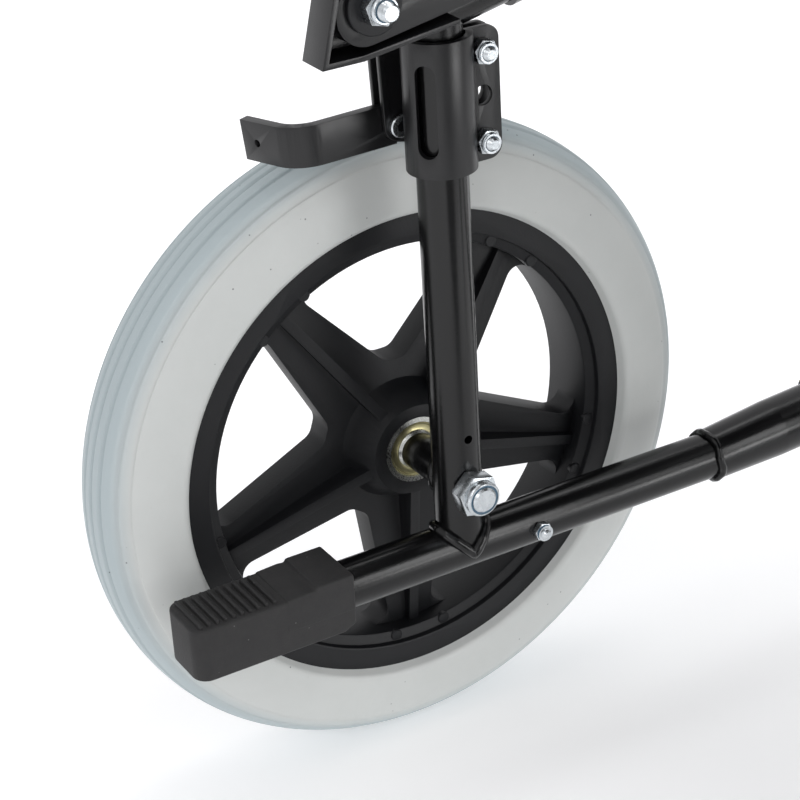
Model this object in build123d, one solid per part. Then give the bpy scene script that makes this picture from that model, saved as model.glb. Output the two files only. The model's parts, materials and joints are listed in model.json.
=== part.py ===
"""Folding transit wheelchair with 12 inch solid-tyred rear wheels and 6 inch front castors.

Millimetres. +X is the user's left, -Y the front, +Z up. The drawing is made with the rear axle
at Y = 0, the floor at Z = 0 and the chair's middle plane at X = 0, and is moved along Y at the
end so that the origin is on the floor under the middle of the chair. Each left-hand piece is
drawn once and mirrored for the right.
"""
from build123d import *
from math import asin, atan2, cos, degrees, pi, radians, sin, sqrt, tan
import os

# ---- driving dimensions -------------------------------------------------------------------
# chair
POST_X = 210.0              # middle plane of each side frame
TYRE_RADIUS = 153.0         # 12 inch solid tyre, so also the axle's height
FRONT_POST_Y = -480.0       # front upright, measured from the rear axle
HANDLE_Z = 900.0            # height of the push handles
RAKE = 4.0                  # seat and lower rails rise this much towards the front, degrees

# frame tubes
TUBE_OD = 22.2              # 7/8 inch
TUBE_WALL = 1.6
WIDE_OD = 28.0
WIDE_WALL = 2.0
WIDE_START_OD = 25.0
FRONT_POST_OD = 25.4
SPIGOT_LENGTH = 30.0
HANDLE_REACH = 148.0        # push grip's end behind the rear axle
HANDLE_BEND = 55.0
SIDE_RAIL_RISE = 277.0      # side rail's axis above the axle, before the rake
RAIL_TAIL = 20.0            # side rail and brace are drawn this far past the post, then coped
LOWER_RAIL_DROP = 33.0      # lower rail's axis below the axle
SEAM_Y = -52.0              # joint between the axle unit's tube and the lower rail
SEAM_BOLT_SETBACK = 16.0
SEAM_BOLT_RADIUS = 2.5
SWAGE_Y = -140.0            # where the wide tube is welded over the narrow one
SWAGE_LENGTH = 37.0
MID_POST_SETBACK = 145.0    # middle post behind the front upright
RAIL_BEND = 65.0
DRAIN_RISE = 25.0           # drain hole above the axle
DRAIN_RADIUS = 2.0
BRACE_HEIGHT = 218.0        # brace's axis above the axle, at the rear post
BRACE_RISE = 12.0           # degrees
BRACE_SETBACK = 90.0        # brace's front end behind the middle post
COLLAR_Y = -37.5            # black plastic collar on the brace
COLLAR_LENGTH = 13.0
COLLAR_WALL = 2.0

# rear wheel
TYRE_HALF_WIDTH = 23.9
TYRE_SEAT_RADIUS = 112.0    # rim's outer wall, where the tyre sits
TYRE_BASE_RADIUS = 117.4    # widest part of the tyre's section
TYRE_POWER = 2.4            # roundness of the tyre's section
TYRE_POINTS = 24
WHEEL_OFFSET = 57.5         # wheel's middle plane outboard of the post
RIM_LIP_RADIUS = 115.1
RIM_LIP_HALF_WIDTH = 19.3
RIM_INNER_RADIUS = 98.0     # inside of the rim's thick ring
RIM_STEP_RADIUS = 103.0     # small step inside the lip
RIM_STEP_DEPTH = 3.0
RIM_BEVEL = 1.5
SPOKES = 5
SPOKE_START = 54.0          # first spoke, degrees from the rear towards the top
SPOKE_HALF = 7.0            # half thickness of the spoke's web
WINDOW_CORNER = 7.0
SPOKE_HUB_WIDTH = 34.0      # spoke's width where it meets the hub
SPOKE_RIM_WIDTH = 22.0
RIB_WIDTH = 5.0             # raised rib along each spoke
RIB_INSET = 3.0             # rib's face inside the hub's face, and outside the web's at the rim
HUB_RADIUS = 22.0
HUB_FLARE_RADIUS = 30.0
HUB_HALF_LENGTH = 22.5
BEARING_RADIUS = 16.0       # 6201 bearing
BEARING_WIDTH = 10.0
BEARING_PROUD = 1.0
BEARING_SHOULDER = 2.0
INNER_RACE_WALL = 3.0
AXLE_RADIUS = 6.0           # M12 axle bolt
AXLE_END = 12.5             # axle bolt's end inboard of the post
SPACER_RADIUS = 8.5

# clamp round the rear post
CLAMP_RISE = 149.0          # clamp's lower end above the axle
CLAMP_HEIGHT = 58.0
CLAMP_WALL = 3.0
CLAMP_CLEARANCE = 1.0
CLAMP_CORNER = 6.0
FLANGE_GAP = 4.0
FLANGE_WALL = 2.5
FLANGE_REACH = 15.9         # flanges' front edge from the tube
CLAMP_BOLT_REACH = 7.4      # bolts' axis from the tube
CLAMP_BOLT_INSET_TOP = 10.0
CLAMP_BOLT_INSET_LOW = 9.0
CLAMP_HOLE_RADIUS = 4.5
CLAMP_HOLE_RISE = 28.5
CLAMP_SLOT_WIDTH = 9.0
CLAMP_SLOT_INSET = 9.0
SLOT_TURN = 38.0
SPOT_FACE_RADIUS = 6.2      # flat for the nut beside the wrap
SPLICE_RISE = 29.0          # the rear post is cut this far up inside the clamp

# tipping lever's rubber cap
CAP_FRONT = 63.0
CAP_LENGTH = 77.0
CAP_WIDTH = 30.0
CAP_HEIGHT = 28.0
CAP_STEP = 5.0
CAP_BLOCK = 26.0
CAP_CORNER = 9.0
CAP_FLOOR = 12.0            # rubber behind the tube's end
CAP_VENT_RADIUS = 2.5
CAP_RIBS = 9
CAP_RIB_PITCH = 4.2
CAP_RIB_WIDTH = 2.4
CAP_RIB_HEIGHT = 1.6
CAP_RIB_INSET = 3.5

# flat bar and folded bracket inboard of the post
BAR_REAR = 58.0
BAR_RISE_FROM_AXLE = 217.5
BAR_HEIGHT = 27.0
BAR_THICK = 12.0
BAR_SLOPE = 10.0            # degrees
BAR_FRONT = -96.0
BAR_STANDOFF = 13.4         # bar's inboard face from the post's inboard face
BAR_BOLT_Y = 42.0
BAR_WASHER_RADIUS = 12.0
BAR_WASHER_WALL = 2.6
BRACKET_REAR = 66.5
BRACKET_FRONT = 4.0
BRACKET_BEND_Y = 48.0
BRACKET_DROP = 4.8          # bracket's lower edge below the bar's
BRACKET_TAPER = 6.0
BRACKET_HEIGHT = 62.0
BRACKET_WALL = 2.5
BRACKET_LEAN = 14.0         # degrees
BRACKET_LIP = 2.0

# brake
BRAKE_STANDOFF = 7.4        # middle plane of the brake outboard of the clamp
BRAKE_THICK = 4.5
BRAKE_HEIGHT = 18.0
BRAKE_PIN_Y = 9.5
BRAKE_CLEARANCE = 11.5      # brake pin above the tyre
BRAKE_BEND_Y = 55.0
BRAKE_TIP_Y = 63.0
BRAKE_TIP_OUT = 30.0
BRAKE_TIP_HOLE = 1.6
BRAKE_BEND = 14.0
BRAKE_DROP = 3.0            # shoe's tip below the pin
PIN_RADIUS = 3.0
PIN_HEAD_RADIUS = 4.6
PIN_HEAD_WALL = 1.8
PIN_HEAD_IN = 2.4           # pin's ends beyond the link's plates
PIN_HEAD_OUT = 1.6
PIN_LUG = 1.4               # lever's stud beyond the link's plates
LINK_WALL = 2.4
LINK_WIDTH = 13.5
LINK_HEAD_RADIUS = 7.6
LINK_SLOT = 1.5
LINK_SLOT_GAP = 1.6
LEVER_RISE = 10.0           # lever's pivot above the side rail's axis
LEVER_LUG = 14.0
LEVER_FRONT = -190.0
LEVER_WIDTH = 18.0
LEVER_GRIP_OUT = 56.0       # grip's axis outboard of the post
LEVER_GRIP_RISE = 105.0
LEVER_ROD_RADIUS = 5.5
LEVER_BEND = 8.0
LEVER_GRIP_RADIUS = 10.0

# armrest
ARM_STANDOFF = 6.8          # between the armrest's tube and the post
ARM_RISE = 220.0            # above the seat rail's axis
ARM_SETBACK = 5.0           # front leg behind the middle post
ARM_BEND = 45.0
ARM_REAR = 14.0
ARM_DEPTH = 21.0            # leg's end from the socket's floor
PAD_LENGTH = 270.0
PAD_WIDTH = 40.0
PAD_OFFSET = 9.0            # pad sits outboard of its tube, clear of the push handle when raised
PAD_HEIGHT = 24.0
PAD_FRONT = 30.0            # pad's front end behind the front leg
PAD_CORNER = 12.0
PAD_CROWN = 7.0
PAD_SCREW_Y = (-80.0, -220.0)
PAD_BOSS_RADIUS = 5.0
GUARD_WALL = 3.0
GUARD_REAR = -45.0
GUARD_RISE = 72.0           # guard's lower edge above the brake lever's pivot
SOCKET_CLEARANCE = 1.2
SOCKET_HEIGHT = 34.0
SOCKET_WALL = 2.0
SOCKET_FLOOR = 3.0

# castor
CASTOR_RADIUS = 75.0        # 6 inch castor
CASTOR_WIDTH = 30.0
CASTOR_TRAIL = 30.0
CASTOR_RIM_RADIUS = 56.0
CASTOR_HUB_RADIUS = 15.0
CASTOR_HUB_WIDTH = 38.0
CASTOR_AXLE_RADIUS = 4.0
CASTOR_ROUND = 7.0
CASTOR_SIDE_GAP = 1.0       # between the hub and each leg
CROWN_GAP = 16.0            # between the castor and the fork's crown
FORK_WALL = 4.0
CROWN_WALL = 6.0
FORK_BOSS_RADIUS = 14.0
HOUSING_GAP = 10.0          # fork's boss between its crown and the housing
HOUSING_LENGTH = 70.0
HOUSING_RADIUS = 18.0
STEM_RADIUS = 8.0
STEM_SHORT = 6.0            # stem ends this far below the housing's top
ARM_BAR_DROP = 14.0         # tie bar below the housing's top

# hanger and footplate
HANGER_REACH = 35.0         # hinge in front of the front upright
HANGER_LOW = 350.0
HANGER_HIGH = 425.0
HINGE_PIN_RADIUS = 6.0
LUG_THICK = 10.0
LUG_HALF_WIDTH = 11.0
HANGER_TOP_DROP = 26.0
HANGER_ELBOW = 45.0         # elbow in front of the hinge
HANGER_BEND = 35.0
HANGER_FOOT_REACH = 175.0   # lower end in front of the hinge
HANGER_FOOT_Z = 100.0
FOOT_AXIS_IN = 25.0         # footplate's hinge, inboard of the post's plane
FOOT_AXIS_Z = 85.0
FOOT_PIN_RADIUS = 8.0
FOOT_SLEEVE_RADIUS = 12.0
FOOT_SLEEVE_START = 14.0    # sleeve's ends behind the hanger's foot
FOOT_SLEEVE_END = 70.0
FOOT_PLATE_START = -32.0    # plate's ends behind the hanger's foot
FOOT_PLATE_END = 90.0
FOOT_PLATE_LENGTH = 150.0
FOOT_PLATE_WALL = 6.0
FOOT_PLATE_OFFSET = 15.0
FOOT_PLATE_CORNER = 18.0

# X brace, seat and back
CROSS_SETBACK = 101.0       # X brace's middle behind the middle post
CROSS_GAP = 1.8             # between the two legs
LEG_END_SHARE = 0.008       # leg stops this share of its length short of the seat rail's axis
LEG_PLUG_SHARE = 0.06       # solid ends of each leg, as a share of its length
SLEEVE_MARGINS = (4.9, 2.9)
SLEEVE_WALL = 3.5
SEAT_RAIL_RISE = 25.0       # seat rail's axis above the side rail's
SEAT_RAIL_GAP = 11.8        # between the seat rail and the side rail
SEAT_REAR = -50.0
SEAT_SETBACK = 50.0         # seat rail's front end behind the front upright
SADDLE_REAR_Y = -85.0
SADDLE_SETBACK = 55.0       # front saddle behind the seat rail's end
SADDLE_LENGTH = 20.0
SADDLE_CLEARANCE = 1.1
SADDLE_WALL = 2.5
SEAT_THICK = 4.0
SEAT_INSET = 8.0
BACK_RISE = 45.0            # back cloth's lower edge above the seat rail's axis
BACK_DROP = 40.0            # its upper edge below the handles
BACK_THICK = 6.0
GRIP_LENGTH = 105.0
GRIP_RADIUS = 16.0
GRIP_END = 4.0

# fasteners and fits
M6_RADIUS = 3.0
M8_RADIUS = 4.0
AXLE_ACROSS = 18.0
AXLE_HEAD = 7.5
AXLE_NUT = 11.5             # heights of the lock nuts
SEAM_ACROSS = 8.0
SEAM_NUT = 4.2
SEAM_BOLT_END = 6.4         # bolt ends inboard of what they clamp
M6_ACROSS = 10.0
M6_HEAD = 4.0
M6_NUT = 6.2
M6_END = 8.0
BAR_ACROSS = 13.0
BAR_NUT = 8.0
BAR_BOLT_END = 15.0
M5_HEAD_RADIUS = 4.5
M8_HEAD_RADIUS = 6.5
NUT_FLAT_SHARE = 0.8        # hexagon's share of a lock nut's height
NUT_COLLAR_SHARE = 0.455    # collar's radius as a share of the width across flats
SPACER_TUBE_RADIUS = 6.0    # spacer beside the lever
ARM_SPACER_RADIUS = 9.0
RUNNING = 0.05              # radial clearance of a turning fit
SIDE_PLAY = 0.2             # end clearance of a turning fit
SOFT_GAP = 0.3              # fabric and foam stay this far from what they lie on

# ---- values that follow ---------------------------------------------------------------------
TUBE_R = TUBE_OD / 2
BORE_R = TUBE_R - TUBE_WALL
WHEEL_Z = TYRE_RADIUS
WHEEL_X = POST_X + WHEEL_OFFSET
WHEEL_FACE_X = WHEEL_X - HUB_HALF_LENGTH - BEARING_PROUD
RAIL_Z = WHEEL_Z - LOWER_RAIL_DROP
POST_IN = POST_X - TUBE_R
POST_OUT = POST_X + TUBE_R
SEAM_BOLT_Y = SEAM_Y + SEAM_BOLT_SETBACK
SIDE_RAIL_Z = WHEEL_Z + SIDE_RAIL_RISE
SEAT_RAIL_Z = SIDE_RAIL_Z + SEAT_RAIL_RISE
SEAT_RAIL_X = POST_X - TUBE_OD - SEAT_RAIL_GAP
SEAT_FRONT = FRONT_POST_Y + SEAT_SETBACK
SADDLE_Y = (SADDLE_REAR_Y, SEAT_FRONT + SADDLE_SETBACK)
MID_POST_Y = FRONT_POST_Y + MID_POST_SETBACK
BRACE_REAR_Z = WHEEL_Z + BRACE_HEIGHT
BRACE_FRONT_Y = MID_POST_Y + BRACE_SETBACK

CLAMP_LOW = WHEEL_Z + CLAMP_RISE
CLAMP_HIGH = CLAMP_LOW + CLAMP_HEIGHT
CLAMP_INNER_R = TUBE_R + CLAMP_CLEARANCE
CLAMP_OUTER_R = CLAMP_INNER_R + CLAMP_WALL
CLAMP_FRONT = -TUBE_R - FLANGE_REACH
CLAMP_BOLT_Y = -TUBE_R - CLAMP_BOLT_REACH
CLAMP_BOLT_TOP = CLAMP_HIGH - CLAMP_BOLT_INSET_TOP
CLAMP_BOLT_LOW = CLAMP_LOW + CLAMP_BOLT_INSET_LOW
CLAMP_HOLE_Z = CLAMP_LOW + CLAMP_HOLE_RISE
FLANGE_SEAT = FLANGE_GAP / 2 + FLANGE_WALL
SPLICE_Z = CLAMP_LOW + SPLICE_RISE

BAR_LOW = WHEEL_Z + BAR_RISE_FROM_AXLE
BAR_IN = POST_IN - BAR_STANDOFF
BAR_OUT = BAR_IN + BAR_THICK
BAR_END = (BAR_REAR - BAR_HEIGHT / 2, BAR_LOW + BAR_HEIGHT / 2)
BAR_BOLT_Z = BAR_END[1] + (BAR_END[0] - BAR_BOLT_Y) * tan(radians(BAR_SLOPE))
BRACKET_LOW = BAR_LOW - BRACKET_DROP

BRAKE_X = POST_X + CLAMP_OUTER_R + BRAKE_STANDOFF
BRAKE_IN = BRAKE_X - BRAKE_THICK / 2
BRAKE_OUT = BRAKE_X + BRAKE_THICK / 2
BRAKE_PIN = (BRAKE_PIN_Y, WHEEL_Z + TYRE_RADIUS + BRAKE_CLEARANCE)
LEVER_Z = SIDE_RAIL_Z + LEVER_RISE
LEVER_GRIP_X = POST_X + LEVER_GRIP_OUT

ARM_X = POST_X + TUBE_OD + ARM_STANDOFF
ARM_Z = SEAT_RAIL_Z + ARM_RISE
ARM_FRONT = MID_POST_Y + ARM_SETBACK
ARM_SPAN = TUBE_R + 4.0
GUARD_LOW = LEVER_Z + GUARD_RISE

CASTOR_Y = FRONT_POST_Y + CASTOR_TRAIL
FORK_HALF = CASTOR_HUB_WIDTH / 2 + CASTOR_SIDE_GAP
FORK_OUT = FORK_HALF + FORK_WALL
FORK_CROWN_Z = 2 * CASTOR_RADIUS + CROWN_GAP
HOUSING_LOW = FORK_CROWN_Z + HOUSING_GAP
HOUSING_HIGH = HOUSING_LOW + HOUSING_LENGTH
STEM_TOP = HOUSING_HIGH - STEM_SHORT
ARM_BAR_Z = HOUSING_HIGH - ARM_BAR_DROP

HANGER_Y = FRONT_POST_Y - HANGER_REACH
HANGER_FOOT = (HANGER_Y - HANGER_FOOT_REACH, HANGER_FOOT_Z)
FOOT_X = POST_X - FOOT_AXIS_IN
FOOT_SLEEVE = (HANGER_FOOT[0] + FOOT_SLEEVE_START, HANGER_FOOT[0] + FOOT_SLEEVE_END)
FOOT_PLATE_Y = (HANGER_FOOT[0] + FOOT_PLATE_START, HANGER_FOOT[0] + FOOT_PLATE_END)

CROSS_PLANE_Y = MID_POST_Y + CROSS_SETBACK
CROSS_SPACING = TUBE_OD + CROSS_GAP
CROSS_REACH = CROSS_SPACING / 2 + TUBE_R
SLEEVE_ENDS = (CROSS_PLANE_Y - CROSS_REACH - SLEEVE_MARGINS[0], CROSS_PLANE_Y + CROSS_REACH + SLEEVE_MARGINS[1])
CROSS_RISE = SEAT_RAIL_Z - RAIL_Z
CROSS_SPAN = POST_X + SEAT_RAIL_X
CENTRE_Z = RAIL_Z + POST_X * CROSS_RISE / CROSS_SPAN
BACK_LOW = SEAT_RAIL_Z + BACK_RISE
BACK_HIGH = HANDLE_Z - BACK_DROP

nodes = {}


# ---- helpers --------------------------------------------------------------------------------
def rod(start, end, radius):
    """A solid cylinder from one point to another."""
    path = Line(start, end)
    return extrude(Plane(origin=start, z_dir=path % 0) * Circle(radius), path.length)


def route(points, bend):
    """A path of straight runs joined by arcs."""
    if len(points) == 2:
        return Line(*points)
    return FilletPolyline(*points, radius=bend)


def run(points, radius, bend=0.0):
    """A solid round bar along a path."""
    path = route(points, bend)
    return sweep(Plane(origin=path @ 0, z_dir=path % 0) * Circle(radius), path=path)


def tube(points, od, wall=TUBE_WALL, bend=0.0):
    """A bent tube of one bore."""
    return run(points, od / 2, bend) - run(points, od / 2 - wall, bend)


def block(x, y, z):
    """A box between pairs of limits."""
    size = (abs(x[1] - x[0]), abs(y[1] - y[0]), abs(z[1] - z[0]))
    return Pos(sum(x) / 2, sum(y) / 2, sum(z) / 2) * Box(*size)


def plate_x(outline, x):
    """A flat outline in Y and Z, given thickness between two values of X."""
    face = Plane(origin=(x[0], 0, 0), x_dir=(0, 1, 0), z_dir=(1, 0, 0)) * make_face(outline)
    return extrude(face, x[1] - x[0])


def strip(start, end, width):
    """Outline of a flat link with round ends, in Y and Z."""
    turn = degrees(atan2(end[1] - start[1], end[0] - start[0]))
    length = sqrt((end[0] - start[0]) ** 2 + (end[1] - start[1]) ** 2)
    middle = ((start[0] + end[0]) / 2, (start[1] + end[1]) / 2)
    return Pos(*middle) * Rot(0, 0, turn) * SlotCenterToCenter(length, width)


def flat_x(sketch, x):
    """A sketch drawn in Y and Z, given thickness between two values of X."""
    return extrude(Plane(origin=(x[0], 0, 0), x_dir=(0, 1, 0), z_dir=(1, 0, 0)) * sketch, x[1] - x[0])


def along_x(x, y, z, radius):
    """A cylinder along X between two values of X."""
    return rod((x[0], y, z), (x[1], y, z), radius)


def raked(part):
    """Tilts a piece that belongs to the seat and lower rails about the weld of the wide tube."""
    return Pos(0, SWAGE_Y, RAIL_Z) * Rot(-RAKE, 0, 0) * Pos(0, -SWAGE_Y, -RAIL_Z) * part


def rake_point(y, z):
    """Where a point of the untilted drawing goes when it is raked."""
    turn = radians(-RAKE)
    dy, dz = y - SWAGE_Y, z - RAIL_Z
    return SWAGE_Y + dy * cos(turn) - dz * sin(turn), RAIL_Z + dy * sin(turn) + dz * cos(turn)


def hexagon(across, x, y, z, bore=0.0):
    """A hexagon nut or head along X."""
    shape = RegularPolygon(across / 2, 6, major_radius=False)
    shape = shape - Circle(bore) if bore else shape
    return flat_x(Pos(y, z) * shape, x)


def ring_x(x, y, z, outer, bore):
    """A washer or collar along X."""
    return flat_x(Pos(y, z) * (Circle(outer) - Circle(bore)), x)


def both(name, part):
    """Stores a left-hand piece and its mirror image."""
    nodes["left_" + name] = part
    nodes["right_" + name] = mirror(part, about=Plane.YZ)


# ---- axle unit: short post, tipping tube and wheel spacer in one weldment --------------------
def axle_unit():
    tipping = rod((POST_X, SEAM_Y, RAIL_Z), (POST_X, CAP_FRONT + CAP_LENGTH - CAP_FLOOR, RAIL_Z), TUBE_R)
    post = rod((POST_X, 0, RAIL_Z), (POST_X, 0, SPLICE_Z), TUBE_R)
    spacer = along_x((POST_X, WHEEL_FACE_X), 0, WHEEL_Z, SPACER_RADIUS)
    solid = tipping + post + spacer
    solid -= rod((POST_X, SEAM_Y - 1, RAIL_Z), (POST_X, CAP_FRONT + CAP_LENGTH, RAIL_Z), BORE_R)
    solid -= rod((POST_X, 0, RAIL_Z + TUBE_R), (POST_X, 0, SPLICE_Z + 1), BORE_R)
    solid -= along_x((POST_X - TUBE_OD, WHEEL_FACE_X + 1), 0, WHEEL_Z, AXLE_RADIUS)
    solid -= along_x((POST_X - TUBE_OD, POST_X + TUBE_OD), SEAM_BOLT_Y, RAIL_Z, SEAM_BOLT_RADIUS)
    drain = along_x((POST_X - TUBE_OD, POST_X), 0, WHEEL_Z + DRAIN_RISE, DRAIN_RADIUS)
    return solid - drain


# ---- lower rail: narrow tube, wide tube over it, bent up to the middle post -------------------
def lower_rail():
    narrow = rod((POST_X, SEAM_Y, RAIL_Z), (POST_X, SWAGE_Y - 3, RAIL_Z), TUBE_R)
    spigot = rod((POST_X, SEAM_Y + SPIGOT_LENGTH, RAIL_Z), (POST_X, SEAM_Y - 20, RAIL_Z), BORE_R)
    bore = rod((POST_X, SEAM_Y + SPIGOT_LENGTH + 1, RAIL_Z), (POST_X, SWAGE_Y - 4, RAIL_Z), BORE_R - TUBE_WALL)
    narrow = narrow + spigot - bore
    narrow -= along_x((POST_X - TUBE_OD, POST_X + TUBE_OD), SEAM_BOLT_Y, RAIL_Z, SEAM_BOLT_RADIUS)
    swage_end = SWAGE_Y - SWAGE_LENGTH
    cone = Plane(origin=(POST_X, SWAGE_Y, RAIL_Z), z_dir=(0, -1, 0)) * extrude_cone(
        WIDE_START_OD / 2, WIDE_OD / 2, SWAGE_LENGTH)
    corners = [(POST_X, swage_end, RAIL_Z), (POST_X, MID_POST_Y, RAIL_Z),
               (POST_X, MID_POST_Y, SIDE_RAIL_Z - TUBE_R * 0.6)]
    wide = run(corners, WIDE_OD / 2, RAIL_BEND) - run(corners, WIDE_OD / 2 - WIDE_WALL, RAIL_BEND)
    wide = raked(cone + wide)
    side = raked(rod((POST_X, 0, SIDE_RAIL_Z), (POST_X, FRONT_POST_Y, SIDE_RAIL_Z), TUBE_R))
    return narrow + (wide - side)


def extrude_cone(start_radius, end_radius, length):
    """A hollow cone whose small end lies on the plane it is placed on."""
    outer = Pos(0, 0, length / 2) * Cone(start_radius, end_radius, length)
    inner = Pos(0, 0, length / 2) * Cone(start_radius - WIDE_WALL, end_radius - WIDE_WALL, length)
    return outer - inner


# ---- rear post, push handle, side rail and brace ----------------------------------------------
def rear_post():
    corners = [(POST_X, 0, SPLICE_Z), (POST_X, 0, HANDLE_Z), (POST_X, HANDLE_REACH - GRIP_END, HANDLE_Z)]
    solid = tube(corners, TUBE_OD, bend=HANDLE_BEND)
    spigot = rod((POST_X, 0, SPLICE_Z - SPIGOT_LENGTH), (POST_X, 0, SPLICE_Z + SPIGOT_LENGTH), BORE_R)
    solid += spigot - rod((POST_X, 0, SPLICE_Z - SPIGOT_LENGTH - 1),
                          (POST_X, 0, SPLICE_Z + SPIGOT_LENGTH + 1), BORE_R - TUBE_WALL)
    solid -= along_x((POST_X - TUBE_OD, POST_X + TUBE_OD), 0, LEVER_Z, M8_RADIUS)
    solid -= along_x((POST_X, POST_X + TUBE_OD), 0, ARM_Z, M8_RADIUS)
    return solid


def side_rail():
    front = rod((POST_X, FRONT_POST_Y, HOUSING_LOW), (POST_X, FRONT_POST_Y, ARM_Z), FRONT_POST_OD / 2)
    rail_ends = [(POST_X, RAIL_TAIL, SIDE_RAIL_Z), (POST_X, FRONT_POST_Y, SIDE_RAIL_Z)]
    rail = raked(tube(rail_ends, TUBE_OD))
    rail_body = raked(rod(*rail_ends, TUBE_R))
    slope = tan(radians(BRACE_RISE))
    brace_top = BRACE_REAR_Z - BRACE_FRONT_Y * slope
    brace_start = (POST_X, RAIL_TAIL, BRACE_REAR_Z - RAIL_TAIL * slope)
    brace = tube([brace_start, (POST_X, BRACE_FRONT_Y, brace_top)], TUBE_OD)
    behind = block((POST_IN - 30, POST_OUT + 30), (0, 3 * RAIL_TAIL), (CLAMP_LOW, ARM_Z))
    solid = (rail + (brace - rail_body)) - post_body() - behind - front
    solid += brace_collar()
    for y in SADDLE_Y:
        solid += saddle(y) - rail_body
    mid = rod((POST_X, MID_POST_Y, RAIL_Z), (POST_X, MID_POST_Y, SIDE_RAIL_Z + TUBE_R), WIDE_OD / 2)
    solid += socket() - rail_body - raked(mid)
    return solid


def saddle(y):
    """Open cradle beside the side rail, in which the seat rail rests."""
    radius = TUBE_R + SADDLE_CLEARANCE
    width = (SEAT_RAIL_X - radius - SADDLE_WALL, POST_X - TUBE_R / 3)
    body = block(width, (y - SADDLE_LENGTH / 2, y + SADDLE_LENGTH / 2),
                 (SIDE_RAIL_Z, SEAT_RAIL_Z))
    hollow = rod((SEAT_RAIL_X, y - SADDLE_LENGTH, SEAT_RAIL_Z),
                 (SEAT_RAIL_X, y + SADDLE_LENGTH, SEAT_RAIL_Z), radius)
    return raked(body - hollow)


def socket():
    """Cup on the side rail that takes the armrest's front leg."""
    _, z = rake_point(ARM_FRONT, SIDE_RAIL_Z)
    radius = TUBE_R + SOCKET_CLEARANCE
    low = z - TUBE_R
    cup = rod((ARM_X, ARM_FRONT, low), (ARM_X, ARM_FRONT, low + SOCKET_HEIGHT), radius + SOCKET_WALL)
    lug = TUBE_R - 1
    cup += block((POST_X, ARM_X), (ARM_FRONT - lug, ARM_FRONT + lug), (low, low + TUBE_OD))
    hollow = rod((ARM_X, ARM_FRONT, low + SOCKET_FLOOR), (ARM_X, ARM_FRONT, low + SOCKET_HEIGHT + 1), radius)
    return cup - hollow


def brace_collar():
    """Ring round the brace, just in front of the post."""
    slope = radians(BRACE_RISE)
    z = BRACE_REAR_Z - COLLAR_Y * tan(slope)
    dy, dz = COLLAR_LENGTH / 2 * cos(slope), COLLAR_LENGTH / 2 * sin(slope)
    start, end = (POST_X, COLLAR_Y + dy, z - dz), (POST_X, COLLAR_Y - dy, z + dz)
    return rod(start, end, TUBE_R + COLLAR_WALL) - rod(start, end, TUBE_R)


# ---- front upright with castor housing and hanger hinge ---------------------------------------
def front_upright():
    _, rail_z = rake_point(FRONT_POST_Y, SIDE_RAIL_Z)
    post_top = rail_z + TUBE_OD
    radius = FRONT_POST_OD / 2
    solid = rod((POST_X, FRONT_POST_Y, STEM_TOP), (POST_X, FRONT_POST_Y, post_top), radius)
    solid += rod((POST_X, FRONT_POST_Y, HOUSING_LOW), (POST_X, FRONT_POST_Y, HOUSING_HIGH), HOUSING_RADIUS)
    arm = tube([(POST_X, FRONT_POST_Y, ARM_BAR_Z), (POST_X, MID_POST_Y + 20, ARM_BAR_Z)], TUBE_OD)
    mid = raked(rod((POST_X, MID_POST_Y, RAIL_Z), (POST_X, MID_POST_Y, SIDE_RAIL_Z), WIDE_OD / 2))
    lean, _ = rake_point(MID_POST_Y, ARM_BAR_Z)
    rear = block((POST_IN - 20, POST_OUT + 20), (lean, lean + 60), (RAIL_Z, SIDE_RAIL_Z))
    solid += arm - rod((POST_X, FRONT_POST_Y, RAIL_Z), (POST_X, FRONT_POST_Y, SIDE_RAIL_Z), radius - 1) - mid - rear
    for z in (HANGER_LOW - LUG_THICK, HANGER_HIGH):
        solid += block((POST_X - LUG_HALF_WIDTH, POST_X + LUG_HALF_WIDTH), (HANGER_Y, FRONT_POST_Y), (z, z + LUG_THICK))
        solid += rod((POST_X, HANGER_Y, z), (POST_X, HANGER_Y, z + LUG_THICK), LUG_HALF_WIDTH)
    solid += rod((POST_X, HANGER_Y, HANGER_LOW - 2), (POST_X, HANGER_Y, HANGER_HIGH + 2), HINGE_PIN_RADIUS)
    solid -= rod((POST_X, FRONT_POST_Y, HOUSING_LOW - 1), (POST_X, FRONT_POST_Y, STEM_TOP + 1), STEM_RADIUS + RUNNING)
    return solid


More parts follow.
